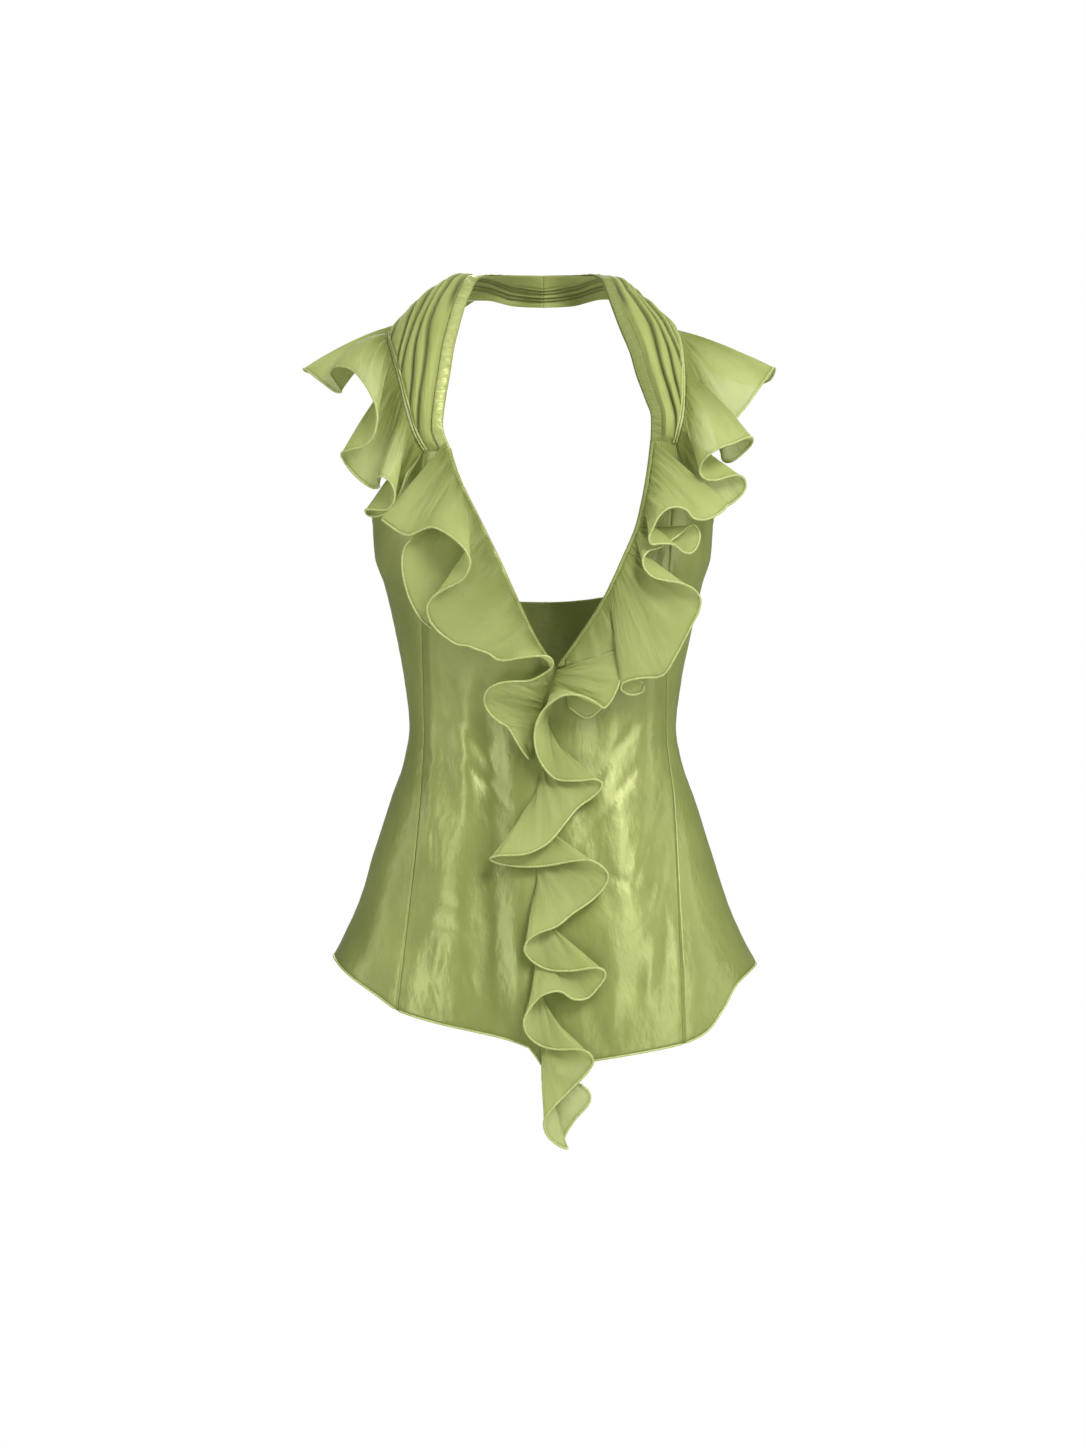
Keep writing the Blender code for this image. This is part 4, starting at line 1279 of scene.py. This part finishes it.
    def panel(
        self, name: str, grid: tuple[int, int], shape: Shape, creases: Sequence[Crease], cut: Cut,
        flip: bool, seams: tuple[bool, bool],
    ) -> tuple[Piece, ClothSheet]:
        """Builds and dresses one panel.

        Args:
            name: the name of its node, which the piece's name starts with.
            grid: columns and rows.
            shape: the panel's points at u, v.
            creases: its troughs and ridges.
            cut: its flat cut.
            flip: whether its faces are turned over.
            seams: whether its first and last columns are sewn to a panel.

        Returns:
            The piece and its sheet.
        """
        sheet = ClothSheet(*grid, shape)
        p = sheet.points
        sign = -1 if flip else 1
        steps = np.linalg.norm(np.diff(p, axis=1), axis=2)
        run = np.concatenate([np.zeros((len(p), 1)), np.cumsum(steps, axis=1)], axis=1)
        down = p[..., 2]
        edge = smooth((down - down.min()) / self.hem_calm) * (1 - self.hem_share) + self.hem_share
        heights = crease_heights(p[..., 0], down, creases) * edge
        for sewn, distance in zip(seams, (run, run[:, -1:] - run)):
            if sewn:
                heights = heights * smooth(distance / self.seam_calm)
                heights = heights + self.seam_dip(distance) + self.pucker(distance, down)
        sheet.push(sign * heights)
        # painted shade: darker in the troughs and seam dips, and in a line above the hem
        to_hem = (1 - sheet.v) * (down.max() - down.min())
        shade = 0.5 * np.exp(-((to_hem / self.hem_shade) ** 2))
        sheet.depth = np.clip(-heights / self.crease_shade_depth, 0, 0.5) + shade
        piece = sheet.build(name + "_satin", SATIN_WALL, cut, flip=flip)
        finish_piece(piece, self.finishes.satin, name)
        log.info("%s: %.4f m2", name, sheet.area())
        return piece, sheet

    def hem(self, name: str, sheet: ClothSheet, top: bool = False) -> Piece:
        """The rolled hem along a panel's lower or upper edge.

        Args:
            name: the hem's name.
            sheet: the panel's sheet.
            top: whether it lies along the upper edge.

        Returns:
            The hem.
        """
        edge, next_row = (sheet.points[row] for row in ((0, 1) if top else (-1, -2)))
        hem = make_tube(name, edge, edge - next_row, PANEL_HEM_RADIUS)
        finish_piece(hem, self.finishes.hem)
        return hem

    def build(self) -> None:
        """Builds the panels with their hems."""
        for side in (Side.RIGHT, Side.LEFT):
            flip = side is Side.LEFT
            name = side.named("front_panel")
            piece, sheet = self.panel(
                name, self.front_grid, lambda u, v, s=side: self.front_point(u, v, s),
                CREASES_FRONT, self.front_cut, flip, (False, True),
            )
            hem = self.hem(side.named("front_hem"), sheet)
            piece, sheet = self.panel(
                side.named("side_panel"), self.side_grid,
                lambda u, v, s=side: self.side_point(u, v, s), CREASES_FRONT, self.side_cut, flip,
                (True, True),
            )
            hem = self.hem(side.named("side_hem"), sheet)
            armhole = self.hem(side.named("armhole_hem"), sheet, top=True)
        piece, sheet = self.panel(
            "back_panel", self.back_grid, self.back_point, CREASES_BACK, self.back_cut, True,
            (True, True),
        )
        hem = self.hem("back_hem", sheet)
        top = self.hem("back_top_hem", sheet, top=True)


class Wander(NamedTuple):
    """How far the pleats wander aside, along the yoke and across it."""

    reach: float
    turn: float
    length: float


WANDERS = table_of(Wander, (1.6, 7, 8), (1.1, 17, 5))


@dataclass
class Halter:
    """A pleated georgette yoke from the front panel over the shoulder to the nape."""

    side: Side
    body: SatinBody
    finishes: Finishes
    pleats: int = 5  # the source's pleats and their faces, which the band's share comes from
    pleat_faces: int = 4
    cord_rows: int = 110  # where the cords end
    cord_insets: tuple[float, float] = (0.2, 2.6)
    cord_lift: float = 0.9
    cord_radius: float = 0.95
    seam_drop: tuple[float, float, float] = (0, 0.3, 2.0)  # the yoke laps over the panel's top
    grid: tuple[int, int] = (90, 150)
    cut: Cut = Cut(0.1, 0.33, 0.019)
    table: Table = field(init=False)
    rows: int = field(init=False)

    def __post_init__(self) -> None:
        """Puts the seam with the front panel before the table's rows."""
        rows = np.array(YOKE_LEFT if self.side is Side.LEFT else YOKE_RIGHT, float)
        base_z = np.array([FRONT_TOP_Z[self.side]], float)
        inner = self.body.inner_edge(base_z, self.side)
        outer = self.body.princess_x(base_z, self.side) - self.side.sign * self.body.seam_gap / 2
        spots = [BODY.point(BODY.angle(x, base_z), base_z)[0] for x in (inner, outer)]
        ends = [spot - self.seam_drop for spot in spots]
        rows = np.vstack([np.concatenate([*ends, [0]]), rows])
        rows[-1, [0, 3]] = 0  # the two yokes meet at the nape
        self.rows = len(rows) - 1
        self.table = Table(rows, np.arange(len(rows)))

    @property
    def columns(self) -> int:
        """The source's columns across the yoke."""
        return self.body.band_columns + self.pleat_faces * self.pleats

    def section(self, v: Array) -> tuple[Array, Array, Array]:
        """The yoke's neck edge, shoulder edge and crown at share v from front to nape."""
        row = self.table.at(v * self.rows)
        return row[:, :3], row[:, 3:6], row[:, 6]

    def middle(self, v: Array) -> Array:
        """The middle of the section; past the nape it goes on as its mirror image."""
        neck, edge, _ = self.section(np.minimum(v, 2 - v))
        return (neck + edge) / 2 * np.where(v > 1, -1, 1)[:, None] ** np.array([1, 0, 0])

    def outward(self, v: Array) -> Array:
        """The direction out from the body.

        Args:
            v: the share of the way from front to nape.

        Returns:
            A vector of length one for each share.
        """
        neck, edge, _ = self.section(v)
        along = self.middle(v + 0.02) - self.middle(np.maximum(v - 0.02, 0))
        return unit(np.cross(along, edge - neck) * -self.side.sign)

    def pleat_shape(self, distance: Array, width: Array, v: Array) -> tuple[Array, Array]:
        """The pleats' height at a distance from the band, and the painted shade in their valleys.

        They run beside the band, so the shoulder edge cuts them off one after another, and they
        draw together towards the nape.

        Args:
            distance: how far a point lies from the band.
            width: the yoke's width there, without the band.
            v: its share of the way from front to nape.

        Returns:
            The heights, and the painted shade from 0 to 1, darkest between two pleats.
        """
        drawn = np.where(v < WIDEST, 1, np.minimum(1, width / PLEATS[5]))
        wander = sum(row.reach * np.sin(row.turn * v + distance / row.length) for row in WANDERS)
        place = distance / drawn + wander * smooth(v * 4)
        number = np.searchsorted(PLEATS, place, side="right") - 1
        number = np.clip(number, 0, len(PLEAT_HEIGHTS) - 1)
        start, end = np.array(PLEATS)[number], np.array(PLEATS)[number + 1]
        inside = np.clip((place - start) / (end - start), 0, 1)
        lean = inside**0.75  # each leans out over the next
        edge = smooth(distance / 3) * smooth((width - distance) / 5)
        height = np.array(PLEAT_HEIGHTS)[number] * drawn * (1 - np.abs(2 * lean - 1) ** 2.6) * edge
        return height * smooth(v / PLEAT_START), np.abs(2 * inside - 1) ** 4 * edge

    def pleats_at(self, share: Array, v: Array) -> tuple[Array, Array, Array]:
        """Where columns lie across the yoke, and its pleats there.

        Args:
            share: the columns' shares, from neck edge to shoulder edge.
            v: the share of the way from front to nape.

        Returns:
            The shares of the width, the pleats' heights and their painted shade.
        """
        neck, edge, _ = self.section(v)
        width = np.linalg.norm(edge - neck, axis=1)
        u = self.body.across(share, self.body.band_columns / self.columns, width)
        distance = np.maximum(u * width - BAND_WIDTH, 0)
        height, deep = self.pleat_shape(distance, width - BAND_WIDTH, v)
        return u, np.where(u > BAND_WIDTH / width, height, 0), deep

    def point(self, share: Array, v: Array) -> Array:
        """The yoke's points.

        Args:
            share: from its neck edge to its shoulder edge.
            v: the share of the way from front to nape.

        Returns:
            The points.
        """
        neck, edge, crown = self.section(v)
        u, pleats, _ = self.pleats_at(share, v)
        height = crown * 4 * u * (1 - u) + pleats
        return neck + (edge - neck) * u[:, None] + self.outward(v) * height[:, None]

    def build(self) -> None:
        """Builds the yoke and the double cord along its shoulder edge."""
        sheet = ClothSheet(*self.grid, self.point)
        # painted shade in the valleys between pleats
        _, _, deep = self.pleats_at(sheet.u.ravel(), sheet.v.ravel())
        sheet.depth = deep.reshape(sheet.u.shape)
        name = self.side.named("halter")
        right = self.side is Side.RIGHT
        piece = sheet.build(name + "_georgette", GEORGETTE_WALL, self.cut, flip=right)
        finish_piece(piece, self.finishes.pleated, name)
        log.info("%s: %.4f m2", name, sheet.area())
        edge = sheet.points[: self.cord_rows, -1]
        toward = edge - sheet.points[: self.cord_rows, -3]
        out = self.outward(np.linspace(0, 1, len(sheet.points)))[: self.cord_rows]
        for number, inset in enumerate(self.cord_insets, 1):
            line = edge - unit(toward) * inset + out * self.cord_lift
            cord_name = f"{self.side.named('shoulder_cord')}_{number}"
            cord = make_tube(cord_name, line, toward, self.cord_radius)
            finish_piece(cord, self.finishes.hem)


@dataclass
class NeckBand:
    """The satin band with two rows of stitching, up the V neck and along the yoke."""

    halter: Halter
    finishes: Finishes
    lift: float = 0.9  # over the panel under it
    crown: float = 0.8
    dimple_run: float = 420.0  # the length that its dimples are spaced along
    dimple_height: float = 0.35
    dimple_beat: Beat = Beat(9.5, 0.3, 23.0)
    fine_height: float = 0.2
    fine_length: float = 5.3
    neck_shade: float = 0.25  # painted shade on the V neck
    left_shade: float = 0.4  # and on the left yoke
    # painted shade, darkest at the band's two edges
    edge_shade: float = 0.3
    stitch_columns: int = 2  # rows of stitches, in from the band's edges
    stitch_length: float = 2.2
    stitch_gap: float = 0.9
    stitch_lift: float = 0.12
    grid: tuple[int, int] = (12, 300)
    cut: Cut = Cut(0.0115, 0.505, 0.005)
    v_share: float = 8 / 30  # share of its length that lies on the V neck, in rows

    def point(self, u: Array, v: Array) -> Array:
        """The band's points on the panel and the yoke, before they are moved out.

        Args:
            u: from its inner to its outer edge.
            v: from the point of the V to the nape.

        Returns:
            The points.
        """
        body, side = self.halter.body, self.halter.side
        above = body.rows_above_v / (body.rows_above_v + body.rows_below_v)
        v_low = np.clip(above * (1 - v / self.v_share), 0, 1)
        v_high = np.clip((v - self.v_share) / (1 - self.v_share), 0, 1)
        low = body.front_point(u * body.band_columns / body.front_columns, v_low, side)
        high = self.halter.point(u * body.band_columns / self.halter.columns, v_high)
        return np.where((v <= self.v_share)[:, None], low, high)

    def build(self) -> None:
        """Builds the band and its stitches."""
        side = self.halter.side
        sheet = ClothSheet(*self.grid, self.point)
        sign = side.sign
        normals = sheet.normals() * sign
        centre = 4 * sheet.u * (1 - sheet.u)
        run = sheet.v * self.dimple_run
        dimple = self.dimple_height * self.dimple_beat.at(run) * centre
        slanting = np.sin(math.tau * (run / self.fine_length + sheet.u))
        dimple += self.fine_height * slanting * centre
        height = self.lift + self.crown * centre**0.5 + dimple
        sheet.points = sheet.points + normals * height[..., None]
        # painted shade: darker on the V neck, on the left yoke and towards the band's edges
        yoke_shade = self.left_shade if side is Side.LEFT else 0.0
        shade = np.where(sheet.v < self.v_share, self.neck_shade, yoke_shade)
        sheet.depth = shade + self.edge_shade * (1 - centre)
        name = side.named("neck_band")
        piece = sheet.build(name + "_satin", SATIN_WALL, self.cut, flip=side is Side.RIGHT)
        # the left band, satin like the right one, takes the darker, matte pleated georgette finish:
        # painted shade
        band = self.finishes.band if side is Side.RIGHT else self.finishes.pleated
        finish_piece(piece, band, name)
        for label, column in (
            ("inner", self.stitch_columns), ("outer", self.grid[0] - self.stitch_columns),
        ):
            line = sheet.points[:, column] + normals[:, column] * self.stitch_lift
            row = make_stitches(
                f"{name}_stitches_{label}", line, normals[:, column], self.stitch_length,
                self.stitch_gap,
            )
            finish_piece(row, self.finishes.thread)
        log.info("%s: %.4f m2", name, sheet.area())


@dataclass
class Ruffle:
    """A gathered georgette ruffle with a rolled hem, from its table of folds."""

    name: str
    folds: Sequence[Fold]
    cut: Cut
    finishes: Finishes
    node: str = ""  # the node that it stands for, if that has another name
    steps: int = 8
    rows: int = 26
    gather: float = 0.35  # height of the small gathers at the seam
    gather_beat: ClassVar[Beat] = Beat(13.0, 0.35, 29.0)
    gather_swell: ClassVar[float] = 37.0  # the stretch over which they swell and fade
    ridge_height: ClassVar[float] = 0.8
    ridge_length: ClassVar[float] = 29.0
    ridge_light: ClassVar[float] = 0.16  # painted light: how much lighter a ridge is painted
    base_shade: ClassVar[float] = 0.2
    valley_depth: ClassVar[float] = 5.0  # the valley depth at which the painted valley shade is darkest
    valley_shade: ClassVar[float] = 0.5
    hem_shade: ClassVar[float] = 0.35
    hem_shade_width: ClassVar[float] = 2.4
    out_sign: ClassVar[int] = 1  # the table's depth counts outwards
    painted_seam_shade: ClassVar[float] = 0.8  # painted shade at the seam, standing in for its bunched gathers and layers
    painted_seam_shade_fade: ClassVar[float] = 2.4  # how fast that painted shade fades towards the hem
    hem: Array = field(init=False)
    seam: Array = field(init=False)
    lift: Array = field(init=False)

    def __post_init__(self) -> None:
        """Draws the hem and the seam as smooth curves."""
        rows = np.array(self.folds, float)
        self.hem = round_curve(rows[:, :3], self.steps)
        spots = np.linspace(0, len(rows) - 1, len(self.hem))
        self.seam, self.lift = Table(rows[:, 3:], np.arange(len(rows))).at(spots).T

    def point(self, number: Array, v: Array) -> Array:
        """The ruffle's points at a column and at share v from its seam to its hem.

        Args:
            number: the column, counted along the hem's curve.
            v: the share of the way from seam to hem.

        Returns:
            The points.
        """
        raise NotImplementedError

    def shape(self, u: Array, v: Array) -> Array:
        """The ruffle's points at u along its hem."""
        return self.point(np.rint(u * (len(self.hem) - 1)).astype(int), v)

    @staticmethod
    def bend(start: Array, middle: Array, end: Array, v: Array) -> Array:
        """Points of a curve from start to end that is drawn towards its middle."""
        v = v[:, None]
        return start * (1 - v) ** 2 + middle * 2 * v * (1 - v) + end * v * v

    def valleys(self) -> Array:
        """How far each column's hem lies behind the hem round it.

        Returns:
            The depths, 1 in a deep valley and -1 on a high fold.
        """
        span = self.steps * 2
        out = np.pad(self.hem[:, 2] * self.out_sign, span, mode="edge")
        around = np.convolve(out, np.ones(span * 2 + 1) / (span * 2 + 1), mode="valid")
        return np.clip((around - out[span:-span]) / self.valley_depth, -1, 1)

    def build(self) -> None:
        """Builds the ruffle and its rolled hem."""
        sheet = ClothSheet(len(self.hem) - 1, self.rows, self.shape)
        steps = np.linalg.norm(np.diff(sheet.points[-1], axis=0), axis=1)
        run = np.concatenate([[0], np.cumsum(steps)])[None, :]
        gathers = self.gather_beat.at(run) * np.sin(run / self.gather_swell + 1) ** 2
        heights = self.gather * gathers * (1 - sheet.v) ** 2 * smooth(sheet.v * 8)
        waves = math.pi * (run / self.ridge_length + 0.35 * np.sin(run / 41) + 0.3 * sheet.v)
        soft = 1 - 2 * np.abs(np.sin(waves)) ** 0.7  # soft ridges
        fade = smooth((1 - sheet.v) * 2.5)
        heights = heights + self.ridge_height * soft * smooth(sheet.v * 3) * fade
        sheet.push(heights)
        to_hem = (1 - sheet.v) * np.linalg.norm(sheet.points[-1] - sheet.points[0], axis=1)
        # painted shade: dark at the seam, lighter on ridges, darker all over, in valleys and in a
        # line along the hem
        sheet.depth = (
            self.painted_seam_shade * (1 - sheet.v) ** self.painted_seam_shade_fade
            - self.ridge_light * soft * (1 - sheet.v)
            + self.base_shade
            + self.valley_shade * self.valleys()[None, :] * sheet.v**0.6
            + self.hem_shade * np.exp(-((to_hem / self.hem_shade_width) ** 2))
        )
        piece = sheet.build(self.name + "_georgette", GEORGETTE_WALL, self.cut, grow=0.0)
        finish_piece(piece, self.finishes.georgette, self.node or self.name)
        toward = sheet.points[-1] - sheet.points[-2]
        hem = make_tube(self.name + "_hem", sheet.points[-1], toward, HEM_RADIUS)
        finish_piece(hem, self.finishes.hem)
        log.info("%s: %.4f m2, hem %.0f mm", self.name, sheet.area(), run.max())


@dataclass
class FrontRuffle(Ruffle):
    """A ruffle that lies on the body's front, along the V neck or the centre front."""

    seam_line: Callable[[Array], Array] = lambda share: share

    def point(self, number: Array, v: Array) -> Array:
        """The ruffle's points, out from the body and from the flatter line at its hem.

        Args:
            number: the column, counted along the hem's curve.
            v: the share of the way from seam to hem.

        Returns:
            The points.
        """
        start = self.seam_line(self.seam[number])
        end = self.hem[number]
        middle = (start + end) / 2
        middle[:, 2] += self.lift[number]
        x, z, out = self.bend(start, middle, end, v).T
        blend = smooth(v)
        y = BODY.front(x, z) * (1 - blend) + BODY.ruffle_line(x, z) * blend
        return np.stack([x, y - out, z], axis=-1)


@dataclass
class ShoulderRuffle(Ruffle):
    """A ruffle that hangs from a yoke's shoulder edge."""

    halter: Halter | None = None
    seam_clear: float = 1.0
    out_sign: ClassVar[int] = -1
    painted_seam_shade: ClassVar[float] = 1.0
    painted_seam_shade_fade: ClassVar[float] = 1.5

    def point(self, number: Array, v: Array) -> Array:
        """The ruffle's points, out from the yoke's edge and over to its hem.

        Args:
            number: the column, counted along the hem's curve.
            v: the share of the way from seam to hem.

        Returns:
            The points.
        """
        neck, edge, _ = self.halter.section(self.seam[number])
        start = edge + unit(edge - neck) * self.seam_clear
        x, z, y = self.hem[number].T
        end = np.stack([x, y, z], axis=-1)
        rise = np.array([0.3 * self.halter.side.sign, -0.4, 0.87]) * self.lift[number][:, None] * 2
        return self.bend(start, (start + end) / 2 + rise, end, v)


@dataclass
class NeckSeams:
    """Where the ruffles of the front leave the panels."""

    body: SatinBody
    inset: float = 3.5
    front_inset: float = 0.6
    neck_out: float = 2.3  # on top of the band
    front_out: float = 0.8
    top_extra: float = 3.1
    top_share: float = 0.15
    right_top: float = -148.0
    left_top: float = -147.0
    cascade_end: tuple[float, float] = (-10.0, -411.0)
    front_start: float = -337.0
    front_end: float = -661.0

    def right(self, share: Array) -> Array:
        """x, z and distance out of the right neck ruffle's seam.

        Args:
            share: the share of the way down.

        Returns:
            A row for each share.
        """
        end_x, end_z = self.cascade_end
        z = self.right_top + (end_z - self.right_top) * share
        point = np.array([V_POINT_Z])
        start_x = self.body.inner_edge(point, Side.RIGHT)[0] - self.inset
        below = np.clip((V_POINT_Z - z) / (V_POINT_Z - end_z), 0, 1)
        x = np.where(
            z > V_POINT_Z, self.body.inner_edge(z, Side.RIGHT) - self.inset,
            start_x + (end_x - start_x) * below,
        )
        return np.stack([x, z, np.full_like(z, self.neck_out)], axis=-1)

    def left(self, share: Array) -> Array:
        """x, z and distance out of the left neck ruffle's seam.

        Args:
            share: the share of the way down.

        Returns:
            A row for each share.
        """
        z = self.left_top + (V_POINT_Z - self.left_top) * share
        x = self.body.inner_edge(z, Side.LEFT) + self.inset
        return np.stack([x, z, np.full_like(z, self.neck_out)], axis=-1)

    def front(self, share: Array) -> Array:
        """x, z and distance out of the front ruffle's seam.

        Args:
            share: the share of the way down.

        Returns:
            A row for each share.
        """
        z = self.front_start + (self.front_end - self.front_start) * share
        out = self.front_out + self.top_extra * np.maximum(0, 1 - share / self.top_share)
        return np.stack([self.body.inner_edge(z, Side.LEFT) + self.front_inset, z, out], axis=-1)


class Lamp(NamedTuple):
    """A soft light: its place and size in metres and its power in watts."""

    name: str
    x: float
    y: float
    z: float
    width: float
    height: float
    power: float


LAMPS = table_of(
    Lamp,
    ("key", 1.4, -2.1, 1.7, 1.2, 1.2, 96),
    ("right strip", -1.75, -2.0, -0.15, 0.65, 1.7, 29),
    ("left strip", 1.65, -2.1, -0.15, 0.65, 1.7, 22),
    ("right side strip", -2.6, -0.3, -0.15, 0.6, 1.7, 12),
    ("left side strip", 2.6, -0.4, -0.15, 0.6, 1.7, 15),
    ("top", 0.1, -0.3, 1.7, 1.2, 1.2, 11),
    ("back", -0.2, 3.2, 0.9, 1.4, 1.8, 70),
)


@dataclass(frozen=True)
class Studio:
    """A pale floor, soft light and the camera at the photograph's angle."""

    distance: float = 3.6
    photo_rows: int = 1448
    row_height: float = 0.85  # what a row of the image shows at the side seams
    aim_z: float = -0.3813
    floor_z: float = -1.45
    floor_radius: float = 2.6
    room_light: float = 0.14

    def floor(self) -> None:
        """The round pale floor."""
        disc = bmesh.new()
        bmesh.ops.create_circle(disc, cap_ends=True, segments=96, radius=self.floor_radius)
        bmesh.ops.translate(disc, verts=disc.verts, vec=(0, -NAPE_Y * MM, self.floor_z))
        floor = solid_form("floor", disc)
        material = new_material("pale floor")
        shader = add(material.node_tree, "ShaderNodeBsdfPrincipled", {
            "Base Color": colour("#F2F1EE"), "Roughness": 0.8,
        })
        add(material.node_tree, "ShaderNodeOutputMaterial", {"Surface": shader.outputs["BSDF"]})
        floor.data.materials.append(material)

    def light(self, lamp: Lamp) -> None:
        """Adds a soft oblong light that faces the middle of the top.

        Args:
            lamp: the light's row in the table.
        """
        data = bpy.data.lights.new(lamp.name, "AREA")
        data.shape = "RECTANGLE"
        data.size, data.size_y, data.energy = lamp.width, lamp.height, lamp.power
        light = add_object(lamp.name, data)
        light.location = lamp.x, lamp.y, lamp.z
        aim = Vector((0, -NAPE_Y * MM, self.aim_z)) - light.location
        light.rotation_euler = aim.to_track_quat("-Z", "Y").to_euler()

    def build(self) -> None:
        """Builds the floor, the lights, the backdrop's light and the camera."""
        self.floor()
        for lamp in LAMPS:
            self.light(lamp)
        world = bpy.data.worlds.new("studio")
        bpy.context.scene.world = world
        world.use_nodes = True
        tree = world.node_tree
        tree.nodes.clear()
        seen = add(tree, "ShaderNodeLightPath", {}).outputs["Is Camera Ray"]
        room, backdrop = (
            add(tree, "ShaderNodeBackground", {"Color": (1, 1, 1, 1), "Strength": strength})
            for strength in (self.room_light, 1.0)
        )
        both = add(tree, "ShaderNodeMixShader", {
            "Fac": seen, 1: room.outputs["Background"], 2: backdrop.outputs["Background"],
        })
        add(tree, "ShaderNodeOutputWorld", {"Surface": both.outputs["Shader"]})
        data = bpy.data.cameras.new("camera")
        data.sensor_fit = "VERTICAL"
        data.sensor_height = 36.0
        data.lens = data.sensor_height * self.distance / (self.photo_rows * self.row_height * MM)
        camera = add_object("camera", data)
        camera.location = (0, -NAPE_Y * MM - self.distance, self.aim_z)
        camera.rotation_euler = (math.radians(90), 0, 0)
        bpy.context.scene.camera = camera
        bpy.context.scene.view_settings.view_transform = "Standard"


def main() -> None:
    """Builds the halter top's looks round its frame."""
    logging.basicConfig(level=logging.INFO, format="%(name)s: %(message)s")
    finishes = Finishes.make()
    body = SatinBody(finishes)
    body.build()
    halters = {side: Halter(side, body, finishes) for side in Side}
    for halter in halters.values():
        halter.build()
        NeckBand(halter, finishes).build()
    seams = NeckSeams(body)
    for name, folds, line, cut in (
        ("neck_ruffle_right", NECK_RUFFLE_RIGHT, seams.right, Cut(0.43, 0.085, 0.0138)),
        ("neck_ruffle_left", NECK_RUFFLE_LEFT, seams.left, Cut(0.51, 0.093, 0.0167)),
        ("front_ruffle", FRONT_RUFFLE, seams.front, Cut(0.95, 0.078, 0.0254)),
    ):
        FrontRuffle(name, folds, cut, finishes, seam_line=line).build()
    FrontRuffle(
        "under_ruffle_right", UNDER_RUFFLE_RIGHT, Cut(0.085, 0.087, 0.0055), finishes,
        node="neck_ruffle_right", seam_line=seams.right,
    ).build()
    for side, folds, cut in (
        (Side.RIGHT, SHOULDER_RUFFLE_RIGHT, Cut(0.555, 0.103, 0.022)),
        (Side.LEFT, SHOULDER_RUFFLE_LEFT, Cut(0.48, 0.106, 0.0212)),
    ):
        name = side.named("shoulder_ruffle")
        ShoulderRuffle(name, folds, cut, finishes, halter=halters[side]).build()
    Studio().build()


if __name__ == "__main__":
    main()
